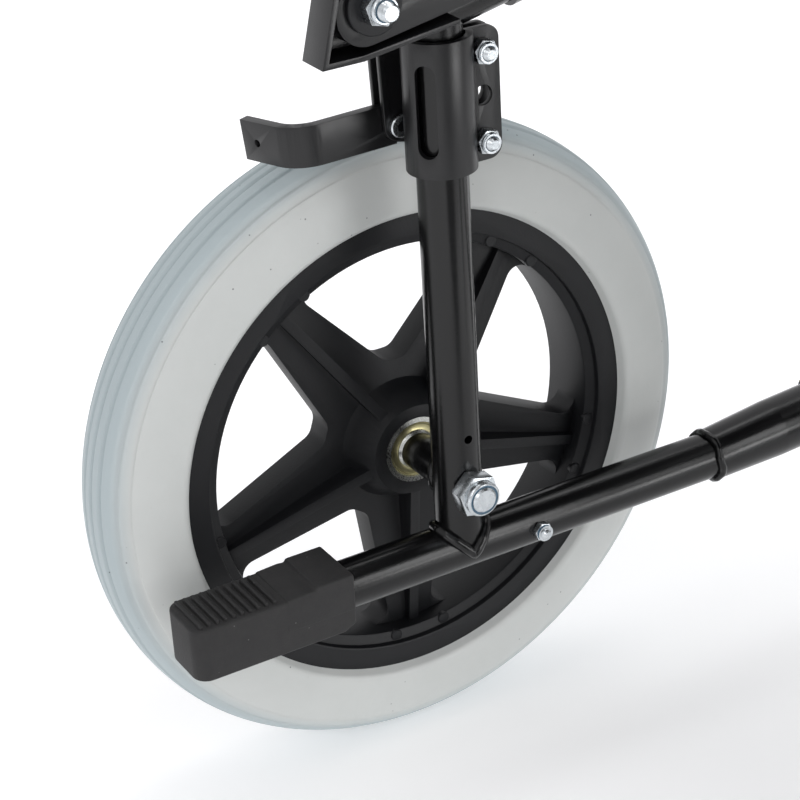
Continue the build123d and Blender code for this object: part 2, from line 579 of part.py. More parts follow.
# ---- post clamp ------------------------------------------------------------------------------
def post_clamp():
    half_gap = FLANGE_GAP / 2
    wrap = Circle(CLAMP_OUTER_R) - Circle(CLAMP_INNER_R)
    wrap -= Pos(0, -CLAMP_OUTER_R) * Rectangle(FLANGE_GAP, CLAMP_OUTER_R * 2)
    reach = abs(CLAMP_FRONT)
    flange_x = half_gap + FLANGE_WALL / 2
    root = sqrt(CLAMP_INNER_R ** 2 - FLANGE_SEAT ** 2)
    for side in (-1, 1):
        wrap += Pos(side * flange_x, -(root + reach) / 2) * Rectangle(FLANGE_WALL, reach - root)
    solid = Pos(POST_X, 0, CLAMP_LOW) * extrude(wrap, CLAMP_HEIGHT)
    thick = (POST_X - FLANGE_SEAT - 1, POST_X + FLANGE_SEAT + 1)
    for edge, inward in ((CLAMP_HIGH, -CLAMP_CORNER), (CLAMP_LOW, CLAMP_CORNER)):
        corner = plate_x(Polyline((CLAMP_FRONT, edge), (CLAMP_FRONT, edge + inward),
                                  (CLAMP_FRONT + CLAMP_CORNER, edge), close=True), thick)
        solid -= corner - along_x(thick, CLAMP_FRONT + CLAMP_CORNER, edge + inward, CLAMP_CORNER)
    for z in (CLAMP_BOLT_TOP, CLAMP_BOLT_LOW):
        for side in (-1, 1):
            face = (POST_X + side * FLANGE_SEAT, POST_X + side * (CLAMP_OUTER_R + 1))
            solid -= along_x(face, CLAMP_BOLT_Y, z, SPOT_FACE_RADIUS)
    holes = ((CLAMP_BOLT_TOP, M6_RADIUS), (CLAMP_BOLT_LOW, M6_RADIUS), (CLAMP_HOLE_Z, CLAMP_HOLE_RADIUS))
    for z, radius in holes:
        solid -= along_x(thick, CLAMP_BOLT_Y, z, radius)
    slot_half = CLAMP_SLOT_WIDTH / 2
    low = CLAMP_LOW + CLAMP_SLOT_INSET + slot_half
    high = CLAMP_HIGH - CLAMP_SLOT_INSET - slot_half
    slot = block((POST_X - slot_half, POST_X + slot_half), (0, CLAMP_OUTER_R + 2), (low, high))
    for z in (low, high):
        slot += rod((POST_X, 0, z), (POST_X, CLAMP_OUTER_R + 2, z), slot_half)
    turn = Pos(POST_X, 0, 0) * Rot(0, 0, SLOT_TURN) * Pos(-POST_X, 0, 0)
    return solid - turn * slot


# ---- flat bar, folded bracket ------------------------------------------------------------------
def post_body():
    """The solid outline of the rear post above its splice, for what is coped to it."""
    return rod((POST_X, 0, SPLICE_Z), (POST_X, 0, ARM_Z), TUBE_R)


def saddle_arm():
    length = BAR_END[0] - BAR_FRONT
    front = (BAR_FRONT, BAR_END[1] + length * tan(radians(BAR_SLOPE)))
    solid = flat_x(strip(BAR_END, front, BAR_HEIGHT), (BAR_IN, BAR_OUT))
    return solid - along_x((BAR_IN - 1, BAR_OUT + 1), BAR_BOLT_Y, BAR_BOLT_Z, M8_RADIUS) - post_body()


def gusset_bracket():
    x_open = BAR_IN - BRACKET_LIP
    wall = BRACKET_WALL
    top = BRACKET_LOW + BRACKET_HEIGHT
    slope = tan(radians(BRACKET_LEAN))
    rear_top = BRACKET_REAR - BRACKET_HEIGHT * slope
    front_low = BRACKET_LOW + BRACKET_TAPER
    outline = [(BRACKET_FRONT, front_low), (BRACKET_BEND_Y, BRACKET_LOW), (BRACKET_REAR, BRACKET_LOW),
               (rear_top, top), (BRACKET_FRONT, top)]
    inner = [(BRACKET_FRONT - 5, front_low + wall), (BRACKET_BEND_Y, BRACKET_LOW + wall),
             (BRACKET_REAR - wall * (1 + slope), BRACKET_LOW + wall), (rear_top - wall, top - wall),
             (BRACKET_FRONT - 5, top - wall)]
    solid = plate_x(Polyline(*outline, close=True), (x_open, BAR_OUT + wall))
    solid -= plate_x(Polyline(*inner, close=True), (x_open - 1, BAR_OUT))
    solid -= post_body()
    return solid - along_x((x_open - 1, BAR_OUT + wall + 1), BAR_BOLT_Y, BAR_BOLT_Z, M8_RADIUS)


# ---- rubber cap --------------------------------------------------------------------------------
def tip_cap():
    rear = CAP_FRONT + CAP_LENGTH
    low = RAIL_Z - CAP_HEIGHT / 2
    high = RAIL_Z + CAP_HEIGHT / 2
    half = CAP_WIDTH / 2
    body = block((POST_X - half, POST_X + half), (CAP_FRONT, rear), (low, high))
    floor = high - CAP_STEP
    body = fillet(body.edges().filter_by(Axis.Z).sort_by(Axis.Y)[-2:], CAP_CORNER)
    body -= block((POST_X - half - 1, POST_X + half + 1), (CAP_FRONT + CAP_BLOCK, rear + 1), (floor, high + 1))
    rib_half = half - CAP_RIB_INSET
    for index in range(CAP_RIBS):
        y = CAP_FRONT + CAP_BLOCK + (index + 2) * CAP_RIB_PITCH
        body += block((POST_X - rib_half, POST_X + rib_half), (y - CAP_RIB_WIDTH / 2, y + CAP_RIB_WIDTH / 2),
                      (floor - 0.5, floor + CAP_RIB_HEIGHT))
    body = body - rod((POST_X, CAP_FRONT - 1, RAIL_Z), (POST_X, rear - CAP_FLOOR, RAIL_Z), TUBE_R)
    return body - rod((POST_X, rear - CAP_FLOOR / 3, RAIL_Z), (POST_X, rear + 1, RAIL_Z), CAP_VENT_RADIUS)


# ---- rear wheel ------------------------------------------------------------------------------
def spin_x(outline, x, y, z):
    """A ring or disc about the wheel's axle, from a half section of offset and radius."""
    face = Plane(origin=(x, y, z), x_dir=(1, 0, 0), z_dir=(0, -1, 0)) * make_face(outline)
    return revolve(face, Axis((x, y, z), (1, 0, 0)))


def tyre():
    half = TYRE_HALF_WIDTH
    base = TYRE_BASE_RADIUS
    crown = TYRE_RADIUS - base
    arc = []
    for index in range(1, TYRE_POINTS):
        turn = pi * index / TYRE_POINTS
        offset = cos(turn)
        x = half * (abs(offset) ** (2 / TYRE_POWER)) * (1 if offset > 0 else -1)
        arc.append((x, base + crown * sin(turn) ** (2 / TYRE_POWER)))
    outer = Spline((half, base), *arc, (-half, base), tangents=[(0, 1), (0, -1)])
    lip = RIM_LIP_HALF_WIDTH
    seat = lip - RIM_BEVEL
    edge = Polyline((-half, base), (-half + RIM_BEVEL, RIM_LIP_RADIUS), (-lip, RIM_LIP_RADIUS),
                    (-seat, TYRE_SEAT_RADIUS), (seat, TYRE_SEAT_RADIUS), (lip, RIM_LIP_RADIUS),
                    (half - RIM_BEVEL, RIM_LIP_RADIUS), (half, base))
    return spin_x(outer + edge, WHEEL_X, 0, WHEEL_Z)


def wheel_window(index):
    """Rounded opening between two spokes, as a sketch in Y and Z about the hub."""
    pitch = 360 / SPOKES
    half = radians(pitch / 2)
    corners = []
    for radius, width in ((RIM_INNER_RADIUS, SPOKE_RIM_WIDTH), (HUB_FLARE_RADIUS + 6, SPOKE_HUB_WIDTH)):
        turn = half - asin(width / 2 / radius)
        corners.append((radius * cos(turn), radius * sin(turn)))
    (far, wide), (near, narrow) = corners
    outline = Polyline((far, wide), (near + 4, max(narrow, 4)), (near + 4, -max(narrow, 4)), (far, -wide))
    face = make_face(outline + ThreePointArc((far, -wide), (RIM_INNER_RADIUS, 0), (far, wide)))
    face = fillet(face.vertices(), WINDOW_CORNER)
    return Rot(0, 0, SPOKE_START + pitch * (index + 0.5)) * face


def wheel_ring():
    """The rim's thick outer ring, that the tyre sits on."""
    lip = RIM_LIP_HALF_WIDTH
    step = lip - RIM_STEP_DEPTH
    seat = lip - RIM_BEVEL
    half = [(lip, RIM_STEP_RADIUS), (lip, RIM_LIP_RADIUS), (seat, TYRE_SEAT_RADIUS)]
    outline = [(step - 1, RIM_INNER_RADIUS), (step, RIM_STEP_RADIUS), *half]
    other = [(-x, radius) for x, radius in reversed(outline)]
    return spin_x(Polyline(*outline, *other, close=True), WHEEL_X, 0, WHEEL_Z)


def wheel_spokes():
    """Hub, webs and ribs, joined to the inside of the ring."""
    web = Circle(RIM_INNER_RADIUS + 1) - Circle(BEARING_RADIUS - BEARING_SHOULDER)
    for index in range(SPOKES):
        web -= wheel_window(index)
    solid = flat_x(Pos(0, WHEEL_Z) * web, (WHEEL_X - SPOKE_HALF, WHEEL_X + SPOKE_HALF))
    face = HUB_HALF_LENGTH
    hub = Polyline((-face, 0), (-face, HUB_RADIUS), (-SPOKE_HALF, HUB_FLARE_RADIUS), (SPOKE_HALF, HUB_FLARE_RADIUS),
                   (face, HUB_RADIUS), (face, 0), close=True)
    solid += spin_x(hub, WHEEL_X, 0, WHEEL_Z)
    start, end = HUB_RADIUS - 2, RIM_INNER_RADIUS + 2
    deep, shallow = face - RIB_INSET, SPOKE_HALF + RIB_INSET
    for index in range(SPOKES):
        outline = Polyline((start, -deep), (end, -shallow), (end, shallow), (start, deep), close=True)
        side_view = Plane(origin=(0, 0, 0), x_dir=(0, 1, 0), z_dir=(0, 0, -1)) * make_face(outline)
        rib = Pos(0, 0, RIB_WIDTH / 2) * extrude(side_view, RIB_WIDTH)
        solid += Pos(WHEEL_X, 0, WHEEL_Z) * Rot(SPOKE_START + index * 360 / SPOKES, 0, 0) * rib
    solid -= along_x((WHEEL_X - face - 1, WHEEL_X + face + 1), 0, WHEEL_Z, BEARING_RADIUS - BEARING_SHOULDER)
    for side in (-1, 1):
        seat = (WHEEL_X + side * (face - BEARING_WIDTH), WHEEL_X + side * (face + 1))
        solid -= along_x(seat, 0, WHEEL_Z, BEARING_RADIUS)
    return solid


def wheel_bearings():
    """Two deep-groove bearings pressed into the hub, each left as one ring."""
    parts = []
    reach = HUB_HALF_LENGTH - BEARING_WIDTH
    outer_face = HUB_HALF_LENGTH + BEARING_PROUD
    for side in (-1, 1):
        ends = sorted((WHEEL_X + side * reach, WHEEL_X + side * HUB_HALF_LENGTH))
        shell = ring_x(ends, 0, WHEEL_Z, BEARING_RADIUS, AXLE_RADIUS + RUNNING)
        lip = sorted((WHEEL_X + side * reach, WHEEL_X + side * (outer_face - RUNNING)))
        parts.append(shell + ring_x(lip, 0, WHEEL_Z, AXLE_RADIUS + INNER_RACE_WALL, AXLE_RADIUS + RUNNING))
    return Compound(children=parts)


# ---- fasteners -------------------------------------------------------------------------------
def bolts():
    """Axle, seam, clamp, bar, brake lever and armrest bolts, with their heads outboard."""
    wheel_end = WHEEL_X + HUB_HALF_LENGTH + BEARING_PROUD
    axle = along_x((POST_IN - AXLE_END, wheel_end), 0, WHEEL_Z, AXLE_RADIUS)
    axle += hexagon(AXLE_ACROSS, (wheel_end, wheel_end + AXLE_HEAD), 0, WHEEL_Z)
    short_post = rod((POST_X, 0, RAIL_Z), (POST_X, 0, SPLICE_Z), TUBE_R)
    parts = [axle - (short_post - along_x((POST_IN - 1, POST_OUT + 1), 0, WHEEL_Z, AXLE_RADIUS))]
    seam = along_x((POST_IN - SEAM_BOLT_END, POST_OUT), SEAM_BOLT_Y, RAIL_Z, SEAM_BOLT_RADIUS)
    parts.append(seam + along_x((POST_OUT, POST_OUT + M6_HEAD / 2), SEAM_BOLT_Y, RAIL_Z, M5_HEAD_RADIUS))
    face = POST_X + FLANGE_SEAT
    tail = POST_X - FLANGE_SEAT - M6_END
    parts.append(along_x((tail, face), CLAMP_BOLT_Y, CLAMP_BOLT_TOP, M6_RADIUS)
                 + hexagon(M6_ACROSS, (face, face + M6_HEAD), CLAMP_BOLT_Y, CLAMP_BOLT_TOP))
    parts.append(along_x((tail, BRAKE_OUT + 1), CLAMP_BOLT_Y, CLAMP_BOLT_LOW, M6_RADIUS)
                 + along_x((face, BRAKE_IN - SIDE_PLAY), CLAMP_BOLT_Y, CLAMP_BOLT_LOW, M6_ACROSS / 2)
                 + along_x((BRAKE_OUT + SIDE_PLAY, BRAKE_OUT + 3), CLAMP_BOLT_Y, CLAMP_BOLT_LOW, M8_HEAD_RADIUS))
    web = BAR_OUT + BRACKET_WALL
    parts.append(along_x((BAR_IN - BAR_BOLT_END, web), BAR_BOLT_Y, BAR_BOLT_Z, M8_RADIUS)
                 + along_x((web, web + M6_HEAD), BAR_BOLT_Y, BAR_BOLT_Z, M8_HEAD_RADIUS)
                 + along_x((BAR_IN - BAR_WASHER_WALL, BAR_IN), BAR_BOLT_Y, BAR_BOLT_Z, BAR_WASHER_RADIUS))
    parts.append(along_x((POST_IN, BRAKE_OUT + 1), 0, LEVER_Z, M8_RADIUS)
                 + ring_x((POST_OUT, BRAKE_IN - SIDE_PLAY), 0, LEVER_Z, SPACER_TUBE_RADIUS, M6_RADIUS)
                 + along_x((BRAKE_OUT + SIDE_PLAY, BRAKE_OUT + LINK_WALL + SIDE_PLAY), 0, LEVER_Z, SPACER_TUBE_RADIUS)
                 + along_x((POST_IN - M6_HEAD, POST_IN), 0, LEVER_Z, M8_HEAD_RADIUS) - post_shell(LEVER_Z))
    arm_in, arm_out = ARM_X - TUBE_R, ARM_X + TUBE_R
    parts.append(along_x((POST_X, arm_out + 1), 0, ARM_Z, M8_RADIUS)
                 + ring_x((POST_OUT, arm_in - SIDE_PLAY), 0, ARM_Z, ARM_SPACER_RADIUS, M6_RADIUS)
                 + along_x((arm_out + SIDE_PLAY, arm_out + M6_HEAD), 0, ARM_Z, M8_HEAD_RADIUS) - post_shell(ARM_Z))
    return parts


def post_shell(z):
    """The rear post near a pivot, less the pivot's own hole."""
    return rod((POST_X, 0, z - 30), (POST_X, 0, z + 30), TUBE_R) - along_x((POST_IN - 1, POST_OUT + 1), 0, z, M8_RADIUS)


def lock_nut(across, seat, height, y, z, bolt):
    """A lock nut that faces inboard: a hexagon with a round collar."""
    flat = height * NUT_FLAT_SHARE
    return hexagon(across, (seat - flat, seat), y, z, bolt) \
        + ring_x((seat - height, seat - flat + 0.1), y, z, across * NUT_COLLAR_SHARE, bolt)


def fasteners():
    """All bolts and lock nuts of one side frame."""
    parts = bolts()
    face = POST_X - FLANGE_SEAT
    parts.append(lock_nut(AXLE_ACROSS, POST_IN, AXLE_NUT, 0, WHEEL_Z, AXLE_RADIUS))
    parts.append(lock_nut(SEAM_ACROSS, POST_IN, SEAM_NUT, SEAM_BOLT_Y, RAIL_Z, SEAM_BOLT_RADIUS))
    for z in (CLAMP_BOLT_TOP, CLAMP_BOLT_LOW):
        parts.append(lock_nut(M6_ACROSS, face, M6_NUT, CLAMP_BOLT_Y, z, M6_RADIUS))
    parts.append(lock_nut(BAR_ACROSS, BAR_IN - BAR_WASHER_WALL, BAR_NUT, BAR_BOLT_Y, BAR_BOLT_Z, M8_RADIUS))
    return Compound(children=parts)


# ---- brake -----------------------------------------------------------------------------------
def brake_arm():
    """Flat bar from its pivot on the clamp to the shoe over the tyre, with the link's pin."""
    y, z = BRAKE_PIN
    bar = flat_x(strip((CLAMP_BOLT_Y, CLAMP_BOLT_LOW), BRAKE_PIN, BRAKE_HEIGHT - 2), (BRAKE_IN, BRAKE_OUT))
    tip_x, tip_z = BRAKE_X + BRAKE_TIP_OUT, z - BRAKE_DROP
    path = FilletPolyline((BRAKE_X, y, z), (BRAKE_X, BRAKE_BEND_Y, z - BRAKE_DROP / 3), (tip_x, BRAKE_TIP_Y, tip_z),
                          radius=BRAKE_BEND)
    section = Plane(origin=path @ 0, x_dir=(1, 0, 0), z_dir=path % 0) * Rectangle(BRAKE_THICK, BRAKE_HEIGHT)
    bar += sweep(section, path=path)
    hole_x = tip_x - BRAKE_HEIGHT / 2
    bar -= rod((hole_x, BRAKE_BEND_Y - 15, tip_z), (hole_x, BRAKE_TIP_Y + 25, tip_z), BRAKE_TIP_HOLE)
    bar -= along_x((BRAKE_IN - 1, BRAKE_OUT + 1), CLAMP_BOLT_Y, CLAMP_BOLT_LOW, M6_RADIUS + RUNNING)
    inner, outer = BRAKE_IN - LINK_WALL - PIN_HEAD_IN, BRAKE_OUT + LINK_WALL + PIN_HEAD_OUT
    bar += along_x((inner, outer), y, z, PIN_RADIUS)
    bar += along_x((inner, inner + PIN_HEAD_WALL), y, z, PIN_HEAD_RADIUS)
    return bar + along_x((outer - PIN_HEAD_WALL / 2, outer), y, z, PIN_HEAD_RADIUS)


def brake_link():
    """Two plates, one on each side of the arm and the lever."""
    parts = []
    top = (LEVER_LUG, LEVER_Z)
    for x in ((BRAKE_IN - LINK_WALL - SOFT_GAP, BRAKE_IN - SOFT_GAP), (BRAKE_OUT + SOFT_GAP, BRAKE_OUT + LINK_WALL + SOFT_GAP)):
        plate = flat_x(strip(BRAKE_PIN, top, LINK_WIDTH) + Pos(*top) * Circle(LINK_HEAD_RADIUS), x)
        plate -= along_x((x[0] - 1, x[1] + 1), *BRAKE_PIN, PIN_RADIUS + RUNNING)
        slot = Pos(*top) * Rot(0, 0, 90) * SlotCenterToCenter(LINK_SLOT, 2 * (PIN_RADIUS + LINK_SLOT_GAP))
        parts.append(plate - flat_x(slot, (x[0] - 1, x[1] + 1)))
    return Compound(children=parts)


def brake_lever():
    blade_end = LEVER_FRONT + 40
    solid = flat_x(strip((LEVER_LUG, LEVER_Z), (blade_end, LEVER_Z), LEVER_WIDTH - 4), (BRAKE_IN, BRAKE_OUT))
    crank = [(BRAKE_X, blade_end + 2, LEVER_Z), (BRAKE_X, blade_end - 22, LEVER_Z),
             (LEVER_GRIP_X, LEVER_FRONT + 2, LEVER_Z + 16), (LEVER_GRIP_X, LEVER_FRONT - 14, LEVER_Z + 45)]
    solid += run(crank, LEVER_ROD_RADIUS, LEVER_BEND)
    solid += rod((LEVER_GRIP_X, LEVER_FRONT - 9, LEVER_Z + 40), (LEVER_GRIP_X, LEVER_FRONT - 22, LEVER_Z + LEVER_GRIP_RISE),
                 LEVER_GRIP_RADIUS)
    solid -= along_x((BRAKE_IN - 1, BRAKE_OUT + 1), 0, LEVER_Z, M8_RADIUS + RUNNING)
    lug = LINK_WALL + PIN_LUG
    return solid + along_x((BRAKE_IN - lug, BRAKE_OUT + lug), LEVER_LUG, LEVER_Z, PIN_RADIUS)


# ---- armrest ---------------------------------------------------------------------------------
def armrest_path():
    foot = rake_point(ARM_FRONT, SIDE_RAIL_Z)[1] - TUBE_R + ARM_DEPTH
    return [(ARM_X, ARM_REAR, ARM_Z), (ARM_X, ARM_FRONT, ARM_Z), (ARM_X, ARM_FRONT, foot)]


def armrest_frame():
    solid = run(armrest_path(), TUBE_R, ARM_BEND) - run(armrest_path(), BORE_R, ARM_BEND)
    solid += rod((ARM_X, ARM_REAR, ARM_Z), (ARM_X, -ARM_REAR, ARM_Z), TUBE_R)
    solid -= along_x((ARM_X - TUBE_OD, ARM_X + TUBE_OD), 0, ARM_Z, M8_RADIUS + RUNNING)
    top = ARM_Z + TUBE_R
    for y in PAD_SCREW_Y:
        solid += rod((ARM_X, y, top - 1), (ARM_X, y, top + SOFT_GAP), PAD_BOSS_RADIUS)
    return solid


def armrest_pad():
    low = ARM_Z + TUBE_R + SOFT_GAP
    middle = ARM_X + PAD_OFFSET
    y = (ARM_FRONT + PAD_FRONT, ARM_FRONT + PAD_FRONT + PAD_LENGTH)
    pad = block((middle - PAD_WIDTH / 2, middle + PAD_WIDTH / 2), y, (low, low + PAD_HEIGHT))
    pad = fillet(pad.edges().filter_by(Axis.Z), PAD_CORNER)
    return fillet(pad.faces().sort_by(Axis.Z)[-1].edges(), PAD_CROWN)


def skirt_guard():
    top = ARM_Z - TUBE_R + 1
    front = ARM_FRONT + TUBE_R - 1
    outline = [(GUARD_REAR, GUARD_LOW), (GUARD_REAR, top), (ARM_FRONT + ARM_BEND, top),
               (front, ARM_Z - ARM_BEND), (front, GUARD_LOW + 16)]
    plate = plate_x(Polyline(*outline, close=True), (ARM_X - GUARD_WALL / 2, ARM_X + GUARD_WALL / 2))
    return plate - run(armrest_path(), TUBE_R, ARM_BEND)


# ---- castor ----------------------------------------------------------------------------------
def castor_fork():
    crown_top = FORK_CROWN_Z + CROWN_WALL
    back, front = FRONT_POST_Y + HOUSING_RADIUS, FRONT_POST_Y - HOUSING_RADIUS + 2
    solid = block((POST_X - FORK_OUT, POST_X + FORK_OUT), (front, back), (FORK_CROWN_Z, crown_top))
    solid += rod((POST_X, FRONT_POST_Y, FORK_CROWN_Z), (POST_X, FRONT_POST_Y, HOUSING_LOW - RUNNING), FORK_BOSS_RADIUS)
    solid += rod((POST_X, FRONT_POST_Y, FORK_CROWN_Z), (POST_X, FRONT_POST_Y, STEM_TOP), STEM_RADIUS)
    leg = Polyline((front, crown_top), (back, crown_top), (CASTOR_Y + 13, CASTOR_RADIUS),
                   (CASTOR_Y + 9, CASTOR_RADIUS - 11), (CASTOR_Y - 9, CASTOR_RADIUS - 11),
                   (CASTOR_Y - 13, CASTOR_RADIUS), close=True)
    axle = along_x((POST_X - FORK_OUT - 5, POST_X + FORK_OUT + 5), CASTOR_Y, CASTOR_RADIUS, CASTOR_AXLE_RADIUS)
    for side in (-1, 1):
        wall = sorted((POST_X + side * FORK_HALF, POST_X + side * FORK_OUT))
        solid += plate_x(leg, wall)
        nut = sorted((POST_X + side * FORK_OUT, POST_X + side * (FORK_OUT + 4.5)))
        axle += hexagon(BAR_ACROSS, nut, CASTOR_Y, CASTOR_RADIUS)
    return solid + axle


def castor_wheel():
    half = CASTOR_WIDTH / 2 - 3
    hub = CASTOR_HUB_WIDTH / 2
    bore = CASTOR_AXLE_RADIUS + RUNNING
    outline = Polyline((-hub, bore), (-hub, CASTOR_HUB_RADIUS), (-4, CASTOR_HUB_RADIUS + 2), (-4, CASTOR_RIM_RADIUS - 8),
                       (-half, CASTOR_RIM_RADIUS - 5), (-half, CASTOR_RIM_RADIUS), (half, CASTOR_RIM_RADIUS),
                       (half, CASTOR_RIM_RADIUS - 5), (4, CASTOR_RIM_RADIUS - 8), (4, CASTOR_HUB_RADIUS + 2),
                       (hub, CASTOR_HUB_RADIUS), (hub, bore), close=True)
    return spin_x(outline, POST_X, CASTOR_Y, CASTOR_RADIUS)


def castor_tyre():
    half = CASTOR_WIDTH / 2
    face = Pos(0, (CASTOR_RADIUS + CASTOR_RIM_RADIUS) / 2) * RectangleRounded(
        CASTOR_WIDTH, CASTOR_RADIUS - CASTOR_RIM_RADIUS, CASTOR_ROUND)
    shaped = face + Pos(0, CASTOR_RIM_RADIUS + 4) * Rectangle(2 * (half - 3), 8)
    plane = Plane(origin=(POST_X, CASTOR_Y, CASTOR_RADIUS), x_dir=(1, 0, 0), z_dir=(0, -1, 0))
    return revolve(plane * shaped, Axis((POST_X, CASTOR_Y, CASTOR_RADIUS), (1, 0, 0)))


# ---- hanger and footplate --------------------------------------------------------------------
def hanger():
    low, high = (POST_X, HANGER_Y, HANGER_LOW + SOFT_GAP), (POST_X, HANGER_Y, HANGER_HIGH - SOFT_GAP)
    elbow_z = HANGER_HIGH - HANGER_TOP_DROP
    path = [(POST_X, HANGER_Y, elbow_z), (POST_X, HANGER_Y - HANGER_ELBOW, elbow_z), (POST_X, *HANGER_FOOT)]
    solid = rod(low, high, FRONT_POST_OD / 2) + run(path, TUBE_R, HANGER_BEND) - run(path, BORE_R, HANGER_BEND)
    block_y = (HANGER_FOOT[0] - FOOT_SLEEVE_RADIUS - 1, FOOT_SLEEVE[0] - 3)
    block_z = (FOOT_AXIS_Z - FOOT_SLEEVE_RADIUS, FOOT_AXIS_Z + 2 * FOOT_SLEEVE_RADIUS)
    solid += block((FOOT_X, POST_X + TUBE_R), block_y, block_z)
    solid += rod((FOOT_X, block_y[0], FOOT_AXIS_Z), (FOOT_X, FOOT_SLEEVE[1] + 6, FOOT_AXIS_Z), FOOT_PIN_RADIUS)
    return solid - rod(low, high, HINGE_PIN_RADIUS + RUNNING)


def footplate():
    ends = ((FOOT_X, FOOT_SLEEVE[0], FOOT_AXIS_Z), (FOOT_X, FOOT_SLEEVE[1], FOOT_AXIS_Z))
    x = (FOOT_X - FOOT_PLATE_OFFSET, FOOT_X - FOOT_PLATE_OFFSET + FOOT_PLATE_WALL)
    low = FOOT_AXIS_Z + 2
    plate = block(x, FOOT_PLATE_Y, (low, low + FOOT_PLATE_LENGTH))
    plate = fillet(plate.edges().filter_by(Axis.X).sort_by(Axis.Z)[-2:], FOOT_PLATE_CORNER)
    notch = rod((FOOT_X, FOOT_PLATE_Y[0] - 1, FOOT_AXIS_Z), (FOOT_X, FOOT_SLEEVE[0] - 0.5, FOOT_AXIS_Z),
                FOOT_SLEEVE_RADIUS + 0.5)
    solid = plate - notch + rod(*ends, FOOT_SLEEVE_RADIUS)
    bore = ((FOOT_X, FOOT_PLATE_Y[0], FOOT_AXIS_Z), (FOOT_X, FOOT_PLATE_Y[1], FOOT_AXIS_Z))
    return solid - rod(*bore, FOOT_PIN_RADIUS + RUNNING)


# ---- X brace, seat and back ------------------------------------------------------------------
def rail_ends(side):
    """Ends of the seat rail carried by the leg whose foot is on that side."""
    x = -side * SEAT_RAIL_X
    return (x, SEAT_FRONT, SEAT_RAIL_Z), (x, SEAT_REAR, SEAT_RAIL_Z)


def cross_leg(side):
    """One leg of the X brace with its sleeve; side is 1 where its foot is on the left rail."""
    y = CROSS_PLANE_Y + side * CROSS_SPACING / 2
    foot, head = Vector(side * POST_X, y, RAIL_Z), Vector(-side * SEAT_RAIL_X, y, SEAT_RAIL_Z)
    sleeve_radius = WIDE_OD / 2 + RUNNING
    start, end = (side * POST_X, SLEEVE_ENDS[0], RAIL_Z), (side * POST_X, SLEEVE_ENDS[1], RAIL_Z)
    solid = rod(foot, head - (head - foot) * LEG_END_SHARE, TUBE_R)
    solid += rod(start, end, sleeve_radius + SLEEVE_WALL)
    solid -= rod(start, end, sleeve_radius)
    solid -= rod(*rail_ends(side), TUBE_R)
    inset = (head - foot) * LEG_PLUG_SHARE
    solid -= rod(foot + inset, head - inset, BORE_R)
    hole = M8_RADIUS + (0 if side > 0 else RUNNING)
    pivot = rod((0, CROSS_PLANE_Y - CROSS_SPACING * 2, CENTRE_Z), (0, CROSS_PLANE_Y + CROSS_SPACING * 2, CENTRE_Z), hole)
    return raked(solid - pivot)


def seat_rail(side):
    return raked(rod(*rail_ends(side), TUBE_R) - rod(*rail_ends(side), BORE_R))


def cross_bolt():
    """The bolt at the middle of the X, held in the left-footed leg, with a washer between the legs."""
    front, rear = CROSS_PLANE_Y - CROSS_REACH, CROSS_PLANE_Y + CROSS_REACH
    bolt = rod((0, front - 3, CENTRE_Z), (0, rear, CENTRE_Z), M8_RADIUS)
    bolt += rod((0, front - 4.5, CENTRE_Z), (0, front - SOFT_GAP, CENTRE_Z), M8_HEAD_RADIUS)
    bolt += rod((0, rear, CENTRE_Z), (0, rear + M6_HEAD + 1, CENTRE_Z), M8_HEAD_RADIUS + 1)
    washer_half = CROSS_GAP / 2
    return raked(bolt + rod((0, CROSS_PLANE_Y - washer_half + SOFT_GAP, CENTRE_Z),
                            (0, CROSS_PLANE_Y + washer_half, CENTRE_Z), ARM_SPACER_RADIUS))


def seat_sling(side):
    """Half of the seat cloth, from the middle to one seat rail."""
    low = SEAT_RAIL_Z + TUBE_R + SOFT_GAP
    x = sorted((side * 0.5, side * (SEAT_RAIL_X + 6)))
    return raked(block(x, (SEAT_FRONT + SEAT_INSET, SEAT_REAR - SEAT_INSET), (low, low + SEAT_THICK)))


def back_sling():
    reach = POST_X - TUBE_R - SOFT_GAP
    return block((-reach, reach), (-BACK_THICK / 2, BACK_THICK / 2), (BACK_LOW, BACK_HIGH))


def handle_grip():
    start = (POST_X, HANDLE_REACH - GRIP_LENGTH, HANDLE_Z)
    end = (POST_X, HANDLE_REACH, HANDLE_Z)
    grip = rod(start, end, GRIP_RADIUS)
    grip = fillet(grip.edges().sort_by(Axis.Y)[-1], GRIP_END)
    return grip - rod(start, (POST_X, HANDLE_REACH - GRIP_END, HANDLE_Z), TUBE_R)


# ---- assembly --------------------------------------------------------------------------------
both("axle_unit", axle_unit())
both("lower_rail", lower_rail())
both("rear_post", rear_post())
both("side_rail", side_rail())
both("front_upright", front_upright())
both("post_clamp", post_clamp())
both("saddle_arm", saddle_arm())
both("gusset_bracket", gusset_bracket())
both("tip_cap", tip_cap())
both("fasteners", fasteners())
both("handle_grip", handle_grip())
both("wheel_rim", wheel_ring())
both("wheel_spokes", wheel_spokes() - wheel_ring())
both("tyre", tyre())
both("wheel_bearings", wheel_bearings())
both("brake_arm", brake_arm())
both("brake_link", brake_link())
both("brake_lever", brake_lever())
both("armrest_frame", armrest_frame())
both("armrest_pad", armrest_pad())
both("skirt_guard", skirt_guard())
both("castor_fork", castor_fork())
both("castor_wheel", castor_wheel())
both("castor_tyre", castor_tyre())
both("hanger", hanger())
both("footplate", footplate())
nodes["cross_left_foot"] = cross_leg(1)
nodes["cross_right_foot"] = cross_leg(-1)
nodes["seat_rail_right"] = seat_rail(1)
nodes["seat_rail_left"] = seat_rail(-1)
nodes["cross_bolt"] = cross_bolt()
nodes["seat_sling_left"] = seat_sling(1)
nodes["seat_sling_right"] = seat_sling(-1)
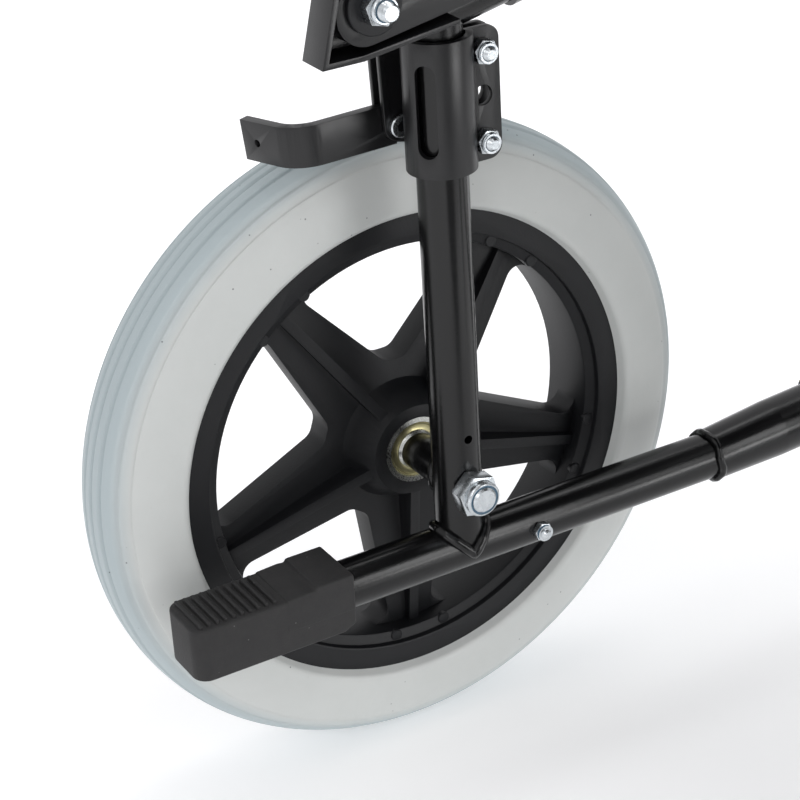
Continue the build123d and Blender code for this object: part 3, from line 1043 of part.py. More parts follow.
nodes["back_sling"] = back_sling()

front_end = min(part.bounding_box().min.Y for part in nodes.values())
rear_end = max(part.bounding_box().max.Y for part in nodes.values())
SHIFT = round(-(front_end + rear_end) / 2, 1)

os.makedirs("parts", exist_ok=True)
for name, part in nodes.items():
    export_step(Pos(0, SHIFT, 0) * part, "parts/" + name + ".step")

print("axle at Y", SHIFT, "length", round(rear_end - front_end, 1), "nodes", len(nodes))
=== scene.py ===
"""Folding transit wheelchair: looks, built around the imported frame. Blender 4.5, metres.

+X is the user's left, -Y the front, +Z up. Each section is one piece of the chair or a group of
like pieces, in the order in which it is put together.
"""
import json
from math import cos, pi, radians, sin, sqrt, tan

import bmesh
import bpy
from mathutils import Matrix, Vector

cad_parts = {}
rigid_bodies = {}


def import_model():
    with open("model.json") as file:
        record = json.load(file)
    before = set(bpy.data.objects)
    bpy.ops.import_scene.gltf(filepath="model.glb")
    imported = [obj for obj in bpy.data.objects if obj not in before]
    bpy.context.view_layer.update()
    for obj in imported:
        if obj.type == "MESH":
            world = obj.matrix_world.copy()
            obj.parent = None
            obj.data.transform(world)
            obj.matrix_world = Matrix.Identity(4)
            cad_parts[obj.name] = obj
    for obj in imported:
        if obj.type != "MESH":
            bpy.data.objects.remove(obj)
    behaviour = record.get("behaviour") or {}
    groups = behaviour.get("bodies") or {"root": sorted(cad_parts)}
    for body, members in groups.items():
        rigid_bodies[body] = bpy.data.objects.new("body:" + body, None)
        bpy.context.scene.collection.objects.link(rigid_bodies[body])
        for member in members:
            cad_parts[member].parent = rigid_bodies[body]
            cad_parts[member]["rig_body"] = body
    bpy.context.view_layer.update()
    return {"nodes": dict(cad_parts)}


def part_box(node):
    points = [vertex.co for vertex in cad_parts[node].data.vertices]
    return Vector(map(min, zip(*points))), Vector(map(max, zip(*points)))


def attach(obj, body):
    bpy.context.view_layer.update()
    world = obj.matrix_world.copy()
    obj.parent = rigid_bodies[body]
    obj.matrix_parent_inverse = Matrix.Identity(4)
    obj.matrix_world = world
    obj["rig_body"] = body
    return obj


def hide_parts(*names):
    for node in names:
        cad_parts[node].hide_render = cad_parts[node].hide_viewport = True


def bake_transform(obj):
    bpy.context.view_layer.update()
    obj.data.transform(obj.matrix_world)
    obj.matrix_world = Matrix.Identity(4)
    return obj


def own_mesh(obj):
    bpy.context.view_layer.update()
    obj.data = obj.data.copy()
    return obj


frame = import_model()


# ---- camera ----------------------------------------------------------------------------------
# A long lens looks down from behind and inboard at the left rear wheel. It leans a little, and
# its place is measured from the middle of that wheel.
def middle(node):
    """Centre of a CAD node's box."""
    low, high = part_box(node)
    return (low + high) / 2


MM = 0.001
hub = middle("left_tyre")
azimuth, elevation, lean = radians(29.10), radians(27.36), radians(-3.47)
sight = Vector((cos(azimuth) * cos(elevation), -sin(azimuth) * cos(elevation), -sin(elevation)))
level_right = sight.cross(Vector((0, 0, 1))).normalized()
level_up = level_right.cross(sight)
camera_right = level_right * cos(lean) + level_up * sin(lean)
camera_up = level_up * cos(lean) - level_right * sin(lean)
camera_turn = Matrix((camera_right, camera_up, -sight)).transposed().to_4x4()
camera = bpy.data.objects.new("camera", bpy.data.cameras.new("camera"))
camera.data.lens = 104.4
camera.data.clip_end = 20.0
camera.matrix_world = Matrix.Translation(hub + Vector((-831.8, 457.7, 506.8)) * MM) @ camera_turn
bpy.context.scene.collection.objects.link(camera)
bpy.context.scene.camera = camera


# ---- floor and studio light ------------------------------------------------------------------
# A white sweep that glows a little, under broad soft boxes: one overhead, a tall one ahead of the
# wheel, a narrow strip that draws the streak down the tubes, and a low one inboard.
def linear(code):
    """An sRGB hex colour as a linear RGBA tuple."""
    levels = [int(code[i:i + 2], 16) / 255 for i in (0, 2, 4)]
    spread = [v / 12.92 if v <= 0.04045 else ((v + 0.055) / 1.055) ** 2.4 for v in levels]
    return (*spread, 1.0)


def add(tree, kind, settings=(), links=()):
    """Adds a node. settings are (name or socket, value); links are (socket, other socket)."""
    node = tree.nodes.new("ShaderNode" + kind)
    for name, value in settings:
        if isinstance(name, str) and hasattr(node, name):
            setattr(node, name, value)
        else:
            node.inputs[name].default_value = value
    for socket, source in links:
        tree.links.new(source, node.inputs[socket])
    return node


def new_material(name):
    """A material with an empty node tree, and its tree."""
    material = bpy.data.materials.new(name)
    material.use_nodes = True
    tree = material.node_tree
    tree.nodes.clear()
    return material, tree


def finish(tree, shader):
    """Joins a shader to the material's output."""
    add(tree, "OutputMaterial", links=[("Surface", shader.outputs[0])])


paper, tree = new_material("white paper")
finish(tree, add(tree, "BsdfPrincipled", [("Base Color", linear("F4F4F5")), ("Roughness", 0.75),
                                          ("Emission Color", linear("FFFFFF")), ("Emission Strength", 0.28)]))
floor_mesh = bmesh.new()
bmesh.ops.create_grid(floor_mesh, x_segments=1, y_segments=1, size=6.0)
floor_data = bpy.data.meshes.new("floor")
floor_mesh.to_mesh(floor_data)
floor_mesh.free()
floor = bpy.data.objects.new("floor", floor_data)
floor_data.materials.append(paper)
bpy.context.scene.collection.objects.link(floor)

world = bpy.data.worlds.new("surround")
world.use_nodes = True
surround = world.node_tree.nodes["Background"]
surround.inputs["Color"].default_value = linear("FBFBFD")
surround.inputs["Strength"].default_value = 0.78
bpy.context.scene.world = world
bpy.context.scene.view_settings.view_transform = "Standard"


def soft_box(name, place, width, height, power):
    """A rectangular area light that faces the wheel."""
    light = bpy.data.lights.new(name, "AREA")
    light.shape = "RECTANGLE"
    light.size, light.size_y = width, height
    light.energy = power
    lamp = bpy.data.objects.new(name, light)
    lamp.location = hub + Vector(place)
    lamp.rotation_euler = (hub - lamp.location).to_track_quat("-Z", "Y").to_euler()
    bpy.context.scene.collection.objects.link(lamp)


soft_box("overhead", (-0.4, -0.6, 2.2), 2.2, 1.2, 20)
soft_box("rear right", (-1.7, -0.9, 1.1), 0.5, 1.6, 12)
soft_box("inboard strip", (-1.9, 1.5, 1.2), 0.25, 1.6, 6)
soft_box("inboard low", (-1.5, -0.9, 0.05), 0.9, 0.3, 7)


# ---- frame tubes -----------------------------------------------------------------------------
# Steel tube, MIG welded, then powder coated semi-gloss black. The coat flows into a faint orange
# peel, its gloss wanders from patch to patch, and it mirrors the white room in long soft bands.
def bump(tree, height, distance, strength=1.0, normal=None):
    """Bump from a height, its distance in millimetres."""
    links = [("Height", height)] + ([("Normal", normal)] if normal else [])
    return add(tree, "Bump", [("Distance", distance * MM), ("Strength", strength)], links)


def per_mm(size):
    """Noise scale for grains of a size in millimetres, on Object coordinates in metres."""
    return 1.0 / (size * MM)


powder_coat, tree = new_material("black powder coat")
place = add(tree, "TexCoord")
peel = add(tree, "TexNoise", [("Scale", per_mm(1.6)), ("Detail", 2.0)], [("Vector", place.outputs["Object"])])
patches = add(tree, "TexNoise", [("Scale", per_mm(40)), ("Detail", 4.0)],
              [("Vector", place.outputs["Object"])])
gloss = add(tree, "MapRange", [("To Min", 0.17), ("To Max", 0.28)], [("Value", patches.outputs["Fac"])])
skin = bump(tree, peel.outputs["Fac"], 0.035)
finish(tree, add(tree, "BsdfPrincipled",
                 [("Base Color", linear("060607")), ("IOR", 1.5), ("Specular IOR Level", 0.42)],
                 [("Roughness", gloss.outputs["Result"]), ("Normal", skin.outputs["Normal"])]))

COATED = ["axle_unit", "lower_rail", "rear_post", "side_rail", "front_upright", "castor_fork", "hanger",
          "armrest_frame", "brake_lever"]


def dress(node, material):
    """Gives a CAD node one material."""
    data = frame["nodes"][node].data
    data.materials.clear()
    data.materials.append(material)


for side in ("left_", "right_"):
    for part in COATED:
        dress(side + part, powder_coat)
for part in ("cross_left_foot", "cross_right_foot", "seat_rail_left", "seat_rail_right"):
    dress(part, powder_coat)


# ---- weld beads ------------------------------------------------------------------------------
# MIG beads with a stack of ripples, coated with the tubes: the short post on the tipping tube,
# the wheel spacer on the post, and the wide rail over the narrow one.
def place_piece(bm, name, material, body, sharp=35):
    """Turns a bmesh into a finished object that rides on a body."""
    data = bpy.data.meshes.new(name)
    bm.to_mesh(data)
    bm.free()
    data.materials.append(material)
    data.shade_smooth()
    data.set_sharp_from_angle(angle=radians(sharp))
    piece = bpy.data.objects.new(name, data)
    bpy.context.scene.collection.objects.link(piece)
    if body:
        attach(piece, body)
    return piece


def flip_side(bm, side):
    """Mirrors a left-hand mesh for the right-hand side."""
    if side == "right_":
        bmesh.ops.scale(bm, vec=(-1, 1, 1), verts=bm.verts)
        bmesh.ops.reverse_faces(bm, faces=bm.faces)


def settle(bm, at, side):
    """Takes a bmesh from millimetres to metres, moves it into place, and mirrors it for the right."""
    bmesh.ops.scale(bm, vec=(MM, MM, MM), verts=bm.verts)
    bmesh.ops.translate(bm, vec=at, verts=bm.verts)
    flip_side(bm, side)


def merge(target, source):
    """Adds one bmesh to another."""
    data = bpy.data.meshes.new("part")
    source.to_mesh(data)
    source.free()
    target.from_mesh(data)
    bpy.data.meshes.remove(data)


RIPPLE = 0.42
SWELL = 0.11


def bead(points, radius):
    """A closed, rippled bead along a ring of points, as a bmesh."""
    curve = bpy.data.curves.new("bead", "CURVE")
    curve.dimensions = "3D"
    curve.bevel_depth = radius
    curve.bevel_resolution = 3
    spline = curve.splines.new("POLY")
    spline.points.add(len(points) - 1)
    spline.use_cyclic_u = True
    for index, point in enumerate(points):
        spline.points[index].co = (*point, 1)
        spline.points[index].radius = 1.0 + 0.03 * sin(index * RIPPLE) + 0.05 * sin(index * SWELL)
    holder = bpy.data.objects.new("bead", curve)
    bm = bmesh.new()
    bm.from_mesh(bpy.data.meshes.new_from_object(holder))
    bpy.data.objects.remove(holder)
    bmesh.ops.remove_doubles(bm, verts=bm.verts, dist=0.00001)
    bmesh.ops.recalc_face_normals(bm, faces=bm.faces)
    return bm


TUBE_R = 11.1 * MM
post_x = middle("left_rear_post").x
rail_z = hub.z - 33 * MM
BEAD_STEPS = 240
turns = [2 * pi * index / BEAD_STEPS for index in range(BEAD_STEPS)]
reach = TUBE_R + 0.5 * MM
saddle_bead = [(post_x + reach * cos(t), hub.y + reach * sin(t),
                rail_z + sqrt(max(TUBE_R ** 2 - (TUBE_R * cos(t)) ** 2, 0)) + 0.6 * MM) for t in turns]
spacer_r = 8.9 * MM
spacer_bead = [(post_x + sqrt(TUBE_R ** 2 - (spacer_r * cos(t) * 0.97) ** 2) + 0.7 * MM,
                hub.y + spacer_r * cos(t), hub.z + spacer_r * sin(t)) for t in turns]
rake = radians(4.0)
swage_y = hub.y - 139.0 * MM
ring_r = 11.6 * MM
swage_bead = [(post_x + ring_r * cos(t), swage_y - ring_r * sin(t) * tan(rake) * -1 + 0.6 * MM * sin(5 * t),
               rail_z + ring_r * sin(t)) for t in turns]
for side in ("left_", "right_"):
    for name, ring, size in (("saddle_bead", saddle_bead, 2.6), ("spacer_bead", spacer_bead, 1.8),
                             ("swage_bead", swage_bead, 1.9)):
        bm = bead(ring, size * MM)
        flip_side(bm, side)
        place_piece(bm, side + name, powder_coat, side + "frame", 60)


# ---- rear tyres ------------------------------------------------------------------------------
# Light grey solid polyurethane, moulded in one piece round the rim. The tread has thin grooves
# all the way round, cooler and bluer than the sidewall, with scuffs and dark specks in the skin.
TYRE_BASE = 117.4
TYRE_CROWN = 35.6
TYRE_HALF = 23.9
TYRE_POWER = 2.4
GROOVES = (-18.6, -15.4, -9.0, -3.0, 3.0, 9.0, 15.4, 18.6)
GROOVE_DEPTH = 1.5
GROOVE_HALF = 1.1


def tyre_radius(offset):
    """The tyre's outer radius at a sideways offset, in millimetres, with its tread grooves."""
    share = min(abs(offset) / TYRE_HALF, 1.0)
    radius = TYRE_BASE + TYRE_CROWN * (1 - share ** TYRE_POWER) ** (1 / TYRE_POWER)
    for groove in GROOVES:
        radius -= GROOVE_DEPTH * max(0.0, 1 - (abs(offset - groove) / GROOVE_HALF) ** 2)
    return radius


def ring_of(profile, centre, steps):
    """Spins a half section of (offset along X, radius) about the X axis through a centre."""
    bm = bmesh.new()
    verts = [bm.verts.new((x, 0, r)) for x, r in profile]
    edges = [bm.edges.new(pair) for pair in zip(verts, verts[1:] + verts[:1])]
    bmesh.ops.spin(bm, geom=verts + edges, cent=(0, 0, 0), axis=(1, 0, 0), angle=2 * pi, steps=steps,
                   use_merge=True)
    bmesh.ops.remove_doubles(bm, verts=bm.verts, dist=0.000002)
    bmesh.ops.translate(bm, vec=centre, verts=bm.verts)
    bmesh.ops.recalc_face_normals(bm, faces=bm.faces)
    return bm


tyre_skin, tree = new_material("grey polyurethane tyre")
place = add(tree, "TexCoord")
centred = add(tree, "Mapping", [("Location", tuple(-value for value in hub))],
              [("Vector", place.outputs["Object"])])
split = add(tree, "SeparateXYZ", links=[("Vector", centred.outputs["Vector"])])
wall = add(tree, "Math", [("operation", "MULTIPLY")], [(0, split.outputs["Y"]), (1, split.outputs["Y"])])
rise = add(tree, "Math", [("operation", "MULTIPLY_ADD")],
           [(0, split.outputs["Z"]), (1, split.outputs["Z"]), (2, wall.outputs["Value"])])
radius = add(tree, "Math", [("operation", "SQRT")], [(0, rise.outputs["Value"])])
tread = add(tree, "MapRange", [("From Min", 0.141), ("From Max", 0.149)],
            [("Value", radius.outputs["Value"])])
cloud = add(tree, "TexNoise", [("Scale", per_mm(30)), ("Detail", 5.0), ("Roughness", 0.6)],
            [("Vector", place.outputs["Object"])])
pale = add(tree, "Mix", [("data_type", "RGBA"), (6, linear("BFC2C0")), (7, linear("CBCDCB"))],
           [(0, cloud.outputs["Fac"])])
cool = add(tree, "Mix", [("data_type", "RGBA"), (7, linear("AEB9BC"))],
           [(0, tread.outputs["Result"]), (6, pale.outputs[2])])
specks = add(tree, "TexVoronoi", [("Scale", per_mm(9))], [("Vector", place.outputs["Object"])])
fleck = add(tree, "MapRange", [("From Min", 0.03), ("From Max", 0.055), ("To Min", 0.75), ("To Max", 0.0)],
            [("Value", specks.outputs["Distance"])])
dirt = add(tree, "Mix", [("data_type", "RGBA"), (7, linear("4A4E50"))],
           [(0, fleck.outputs["Result"]), (6, cool.outputs[2])])
grain = add(tree, "TexNoise", [("Scale", per_mm(2.2)), ("Detail", 4.0)],
            [("Vector", place.outputs["Object"])])
wave = add(tree, "TexNoise", [("Scale", per_mm(18)), ("Detail", 2.0)], [("Vector", place.outputs["Object"])])
soft = bump(tree, wave.outputs["Fac"], 0.35)
rough = bump(tree, grain.outputs["Fac"], 0.05, normal=soft.outputs["Normal"])
finish(tree, add(tree, "BsdfPrincipled",
                 [("Roughness", 0.46), ("IOR", 1.5), ("Subsurface Weight", 0.06), ("Subsurface Scale", 1.0),
                  ("Subsurface Radius", (0.004, 0.004, 0.004))],
                 [("Base Color", dirt.outputs[2]), ("Normal", rough.outputs["Normal"])]))

TYRE_STEPS = 192
PROFILE_STEPS = 150
outer = []
for index in range(PROFILE_STEPS + 1):
    turn = pi * index / PROFILE_STEPS
    offset = TYRE_HALF * cos(turn)
    outer.append((offset * MM, tyre_radius(offset) * MM))
inner = [(-TYRE_HALF + 1.2, 115.3), (-19.6, 114.6), (-18.2, 112.0), (18.2, 112.0), (19.6, 114.6),
         (TYRE_HALF - 1.2, 115.3)]
tyre_profile = outer + [(x * MM, r * MM) for x, r in inner]
for side in ("left_", "right_"):
    bm = ring_of(tyre_profile, hub, TYRE_STEPS)
    flip_side(bm, side)
    piece = place_piece(bm, side + "tyre_skin", tyre_skin, side + "rear_wheel", 50)
    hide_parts(side + "tyre")


# ---- rear rims -------------------------------------------------------------------------------
# Glass-filled nylon, injection moulded in black, with five ribbed spokes. The moulding is matte
# with a fine spark-eroded grain, softened edges, and round marks where the ejector pins pushed.
nylon, tree = new_material("glass-filled black nylon")
place = add(tree, "TexCoord")
grain = add(tree, "TexNoise", [("Scale", per_mm(0.9)), ("Detail", 3.0)],
            [("Vector", place.outputs["Object"])])
cloud = add(tree, "TexNoise", [("Scale", per_mm(25)), ("Detail", 3.0)], [("Vector", place.outputs["Object"])])
tint = add(tree, "Mix", [("data_type", "RGBA"), (6, linear("07080B")), (7, linear("0D0E12"))],
           [(0, cloud.outputs["Fac"])])
skin = bump(tree, grain.outputs["Fac"], 0.06)
finish(tree, add(tree, "BsdfPrincipled", [("Roughness", 0.5), ("IOR", 1.5), ("Specular IOR Level", 0.35)],
                 [("Base Color", tint.outputs[2]), ("Normal", skin.outputs["Normal"])]))


def softened(node, name, material, width, segments=2, sharp=32, ride_on=None):
    """A copy of a CAD node with its hard edges rounded, which stands for the node."""
    bm = bmesh.new()
    bm.from_mesh(frame["nodes"][node].data)
    bmesh.ops.remove_doubles(bm, verts=bm.verts, dist=0.000005)
    bmesh.ops.dissolve_limit(bm, angle_limit=radians(0.5), verts=bm.verts, edges=bm.edges)
    hard = [edge for edge in bm.edges if edge.is_manifold and edge.calc_face_angle(0) > radians(sharp)]
    bmesh.ops.bevel(bm, geom=hard, offset=width * MM, segments=segments, affect="EDGES", profile=0.5,
                    material=-1, clamp_overlap=True)
    body = ride_on or frame["nodes"][node]["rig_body"]
    piece = place_piece(bm, name, material, body, 28)
    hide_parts(node)
    return piece


BOSS = [(-16.4, 0.01), (-16.4, 2.6), (-16.0, 3.0), (-14.0, 3.0), (-14.0, 0.01)]
BOSS_RING = 100.6
BOSS_START = 54
BOSS_SPREAD = 7.5
for side in ("left_", "right_"):
    softened(side + "wheel_rim", side + "rim_ring", nylon, 0.9)
    softened(side + "wheel_spokes", side + "rim_spokes", nylon, 1.1, 3)
    bosses = bmesh.new()
    for index in range(10):
        turn = radians(BOSS_START + index // 2 * 72 + (BOSS_SPREAD if index % 2 else -BOSS_SPREAD))
        boss = ring_of(BOSS, (0, 0, 0), 24)
        bmesh.ops.translate(boss, vec=(0, BOSS_RING * cos(turn), BOSS_RING * sin(turn)), verts=boss.verts)
        merge(bosses, boss)
    settle(bosses, hub, side)
    place_piece(bosses, side + "rim_bosses", nylon, side + "rear_wheel", 35)


# ---- bearings --------------------------------------------------------------------------------
# 6201 ball bearings pressed into the hub: ground steel rings with a yellow-passivated shield
# between them, which gives the eye a greenish gold dish with a bright rim.
ground_steel, tree = new_material("ground bearing steel")
place = add(tree, "TexCoord")
lines = add(tree, "TexNoise", [("Scale", per_mm(0.8)), ("Detail", 3.0)],
            [("Vector", place.outputs["Object"])])
gloss = add(tree, "MapRange", [("To Min", 0.2), ("To Max", 0.36)], [("Value", lines.outputs["Fac"])])
finish(tree, add(tree, "BsdfPrincipled", [("Base Color", linear("BFC0BC")), ("Metallic", 1.0)],
                 [("Roughness", gloss.outputs["Result"])]))
passivated, tree = new_material("yellow zinc shield")
place = add(tree, "TexCoord")
sheen = add(tree, "TexNoise", [("Scale", per_mm(5)), ("Detail", 2.0)], [("Vector", place.outputs["Object"])])
tint = add(tree, "Mix", [("data_type", "RGBA"), (6, linear("9A9269")), (7, linear("B9B48E"))],
           [(0, sheen.outputs["Fac"])])
finish(tree, add(tree, "BsdfPrincipled", [("Roughness", 0.34), ("Metallic", 1.0)],
                 [("Base Color", tint.outputs[2])]))

HUB_FACE = 22.5
rings = {
    "outer_race": [(0.2, 16.0), (0.2, 13.7), (-0.3, 13.4), (-9.8, 13.4), (-9.8, 16.0)],
    "inner_race": [(0.95, 8.4), (0.95, 6.3), (0.7, 6.06), (-9.8, 6.06), (-9.8, 9.4), (-0.3, 9.4), (0.0, 9.1)],
    "shield": [(-0.4, 13.35), (-0.5, 12.6), (-1.1, 12.2), (-1.3, 10.4), (-0.9, 9.45),
               (-3.0, 9.45), (-3.0, 13.35)],
}
for side in ("left_", "right_"):
    for face in (-1, 1):
        for name, section in rings.items():
            profile = [((face * (HUB_FACE + x)) * MM, r * MM) for x, r in section]
            bm = ring_of(profile, hub, 72)
            flip_side(bm, side)
            label = side + name + ("_inboard" if face < 0 else "_outboard")
            metal = passivated if name == "shield" else ground_steel
            place_piece(bm, label, metal, side + "rear_wheel", 40)
    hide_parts(side + "wheel_bearings")


# ---- nuts and bolts --------------------------------------------------------------------------
# Steel, cold headed and bright zinc plated, with nylon-insert lock nuts: a chamfered hexagon, a
# domed collar rolled over a blue-grey nylon ring, and the bolt's chamfered, threaded end.
zinc, tree = new_material("bright zinc plate")
place = add(tree, "TexCoord")
smear = add(tree, "TexNoise", [("Scale", per_mm(3.5)), ("Detail", 4.0)],
            [("Vector", place.outputs["Object"])])
tint = add(tree, "Mix", [("data_type", "RGBA"), (6, linear("B4BABF")), (7, linear("DDE1E3"))],
           [(0, smear.outputs["Fac"])])
gloss = add(tree, "MapRange", [("To Min", 0.16), ("To Max", 0.38)], [("Value", smear.outputs["Fac"])])
skin = bump(tree, smear.outputs["Fac"], 0.08)
finish(tree, add(tree, "BsdfPrincipled", [("Metallic", 1.0)],
                 [("Base Color", tint.outputs[2]), ("Roughness", gloss.outputs["Result"]),
                  ("Normal", skin.outputs["Normal"])]))
insert, tree = new_material("blue nylon insert")
place = add(tree, "TexCoord")
cloud = add(tree, "TexNoise", [("Scale", per_mm(2))], [("Vector", place.outputs["Object"])])
tint = add(tree, "Mix", [("data_type", "RGBA"), (6, linear("3E5A70")), (7, linear("5E7C90"))],
           [(0, cloud.outputs["Fac"])])
finish(tree, add(tree, "BsdfPrincipled", [("Roughness", 0.5)], [("Base Color", tint.outputs[2])]))


def hexagon_block(across, face, back):
    """A chamfered hexagon along X, from its back (seated) to its outer face, in millimetres."""
    bm = bmesh.new()
    depth = abs(face - back)
    corner = across / sqrt(3)
    bmesh.ops.create_cone(bm, cap_ends=True, segments=6, radius1=corner, radius2=corner, depth=depth)
    bmesh.ops.rotate(bm, cent=(0, 0, 0), matrix=Matrix.Rotation(pi / 2, 3, "Y"), verts=bm.verts)
    bmesh.ops.bevel(bm, geom=bm.edges[:], offset=0.35, segments=2, affect="EDGES", profile=0.5, material=-1)
    bmesh.ops.translate(bm, vec=((face + back) / 2, 0, 0), verts=bm.verts)
    return bm


def lock_nut(across, height, bolt, tail):
    """A lock nut seated at X = 0 that faces -X, with the bolt's end through it, in millimetres."""
    flat = height * 0.68
    metal = hexagon_block(across, -flat, 0)
    collar = across * 0.455
    dome = [(-flat + 0.3, collar), (-height + 1.0, collar), (-height + 0.3, collar - 0.5),
            (-height, collar - 1.2), (-height, bolt + 1.3), (-height + 0.7, bolt + 1.1),
            (-flat + 0.3, bolt + 1.1)]
    merge(metal, ring_of(dome, (0, 0, 0), 48))
    ring = ring_of([(-height + 0.4, bolt + 1.25), (-height + 0.4, bolt - 0.1), (-flat, bolt - 0.1),
                    (-flat, bolt + 1.25)], (0, 0, 0), 48)
    thread = [(0.5, 0.01), (0.5, bolt - 0.35)]
    pitch = bolt * 0.25
    x = 0.0
    while x > -tail + 1.4:
        thread += [(x - pitch * 0.1, bolt - 0.02), (x - pitch * 0.6, bolt - 0.45)]
        x -= pitch
    thread += [(-tail + 0.9, bolt - 0.1), (-tail, bolt - 1.0), (-tail, 0.01)]
    merge(metal, ring_of(thread, (0, 0, 0), 48))
    return metal, ring


post_in = post_x - TUBE_R
flange_in = post_x - 4.5 * MM
clamp_y = hub.y - 18.5 * MM
bar_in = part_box("left_saddle_arm")[0].x - 2.6 * MM
bar_bolt_z = 386.82 * MM
# Each nut's width across flats, height, bolt radius, bolt end and seat.
NUTS = {
    "axle": (18.0, 11.5, 6.0, 12.5, (post_in, hub.y, hub.z)),
    "rail": (8.0, 4.4, 2.5, 6.3, (post_in, hub.y - 36 * MM, rail_z)),
    "clamp_top": (10.0, 6.2, 3.0, 8.0, (flange_in, clamp_y, 350 * MM)),
    "clamp_low": (10.0, 6.2, 3.0, 8.0, (flange_in, clamp_y, 311 * MM)),
    "bar": (13.0, 8.0, 4.0, 12.4, (bar_in, hub.y + 42 * MM, bar_bolt_z)),
}
# Each bolt's place (Y, Z) and its steps of (radius, start, end) along X from the post's middle.
HEADS = {
    "axle": (0, hub.z / MM, [(6.0, -11.1, 82.0)]),
    "seam": (-36, rail_z / MM, [(4.5, 11.1, 13.1)]),
    "brake_pivot": (-18.5, 311, [(3.0, 0.0, 25.7), (5.0, 4.5, 20.05), (6.5, 24.95, 27.75)]),
    "bar": (42, bar_bolt_z / MM, [(6.5, -10.0, -6.0)]),
    "washer": (42, bar_bolt_z / MM, [(12.0, -27.1, -24.5)]),
    "lever": (0, 440, [(4.0, -11.0, 25.7), (6.0, 11.1, 20.05), (6.0, 24.95, 27.35), (6.5, -15.1, -11.1)]),
    "arm": (0, 675, [(4.0, 5.0, 41.0), (9.0, 11.1, 17.7), (6.5, 40.3, 44.1)]),
}
AXLE_HEAD = (18.0, 88.5, 81.0)
CLAMP_HEAD = (10.0, 8.5, 4.5)
EASE = 0.4
NUT_TURN = 14
for side in ("left_", "right_"):
    for name, (y, z, steps) in HEADS.items():
        bm = bmesh.new()
        for size, start, end in steps:
            edge = [(start, 0.01), (start, size - EASE), (start + EASE, size), (end - EASE, size),
                    (end, size - EASE), (end, 0.01)]
            merge(bm, ring_of(edge, (0, 0, 0), 48))
        if name == "axle":
            merge(bm, hexagon_block(*AXLE_HEAD))
        settle(bm, (post_x, hub.y + y * MM, z * MM), side)
        metal = nylon if name == "washer" else zinc
        place_piece(bm, side + name + "_bolt", metal, side + "frame", 32)
    bm = hexagon_block(*CLAMP_HEAD)
    settle(bm, (post_x, clamp_y, 350 * MM), side)
    place_piece(bm, side + "clamp_bolt_head", zinc, side + "frame", 32)
    for name, (across, height, bolt, tail, seat) in NUTS.items():
        metal, ring = lock_nut(across, height, bolt, tail)
        for bm, label, material in ((metal, "_nut", zinc), (ring, "_insert", insert)):
            turn = Matrix.Rotation(radians(NUT_TURN), 3, "X")
            bmesh.ops.rotate(bm, cent=(0, 0, 0), matrix=turn, verts=bm.verts)
            settle(bm, seat, side)
            place_piece(bm, side + name + label, material, side + "frame", 32)
    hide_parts(side + "fasteners")
dress("cross_bolt", zinc)


# ---- clamp, bracket and brake steelwork ------------------------------------------------------
# Cold rolled sheet and bar, stamped, folded and satin black coated. Corners are eased by the
# coat. The brake link's pin has a bright ringed head, and the clamp has one stamped ridge.
sheet_coat, tree = new_material("satin black sheet steel")
place = add(tree, "TexCoord")
fine = add(tree, "TexNoise", [("Scale", per_mm(0.7)), ("Detail", 3.0)], [("Vector", place.outputs["Object"])])
cloud = add(tree, "TexNoise", [("Scale", per_mm(14)), ("Detail", 3.0)], [("Vector", place.outputs["Object"])])
gloss = add(tree, "MapRange", [("To Min", 0.3), ("To Max", 0.42)], [("Value", cloud.outputs["Fac"])])
skin = bump(tree, fine.outputs["Fac"], 0.03)
finish(tree, add(tree, "BsdfPrincipled", [("Base Color", linear("0D0D0F")), ("IOR", 1.5)],
                 [("Roughness", gloss.outputs["Result"]), ("Normal", skin.outputs["Normal"])]))
PIN_HEAD = [(15.1, 2.0), (15.1, 4.4), (15.6, 4.9), (17.4, 4.9), (17.4, 0.01), (16.6, 0.01), (16.6, 2.0)]
for side in ("left_", "right_"):
    softened(side + "post_clamp", side + "clamp_sheet", sheet_coat, 0.5)
    softened(side + "gusset_bracket", side + "bracket_sheet", sheet_coat, 0.8, 3)
    softened(side + "saddle_arm", side + "saddle_bar", sheet_coat, 1.2, 3)
    softened(side + "brake_arm", side + "brake_shoe", sheet_coat, 0.5)
    softened(side + "brake_link", side + "brake_plates", sheet_coat, 0.4)
    pin = ring_of(PIN_HEAD, (0, 0, 0), 48)
    settle(pin, (post_x, hub.y + 9.5 * MM, 317.5 * MM), side)
    place_piece(pin, side + "brake_pin_head", zinc, side + "brake_arm", 35)
    ridge = bmesh.new()
    bmesh.ops.create_uvsphere(ridge, u_segments=24, v_segments=16, radius=1.0)
    bmesh.ops.scale(ridge, vec=(1.1, 2.0, 17.0), verts=ridge.verts)
    settle(ridge, (flange_in, hub.y - 14.2 * MM, 331 * MM), side)
    place_piece(ridge, side + "clamp_ridge", sheet_coat, side + "frame", 60)


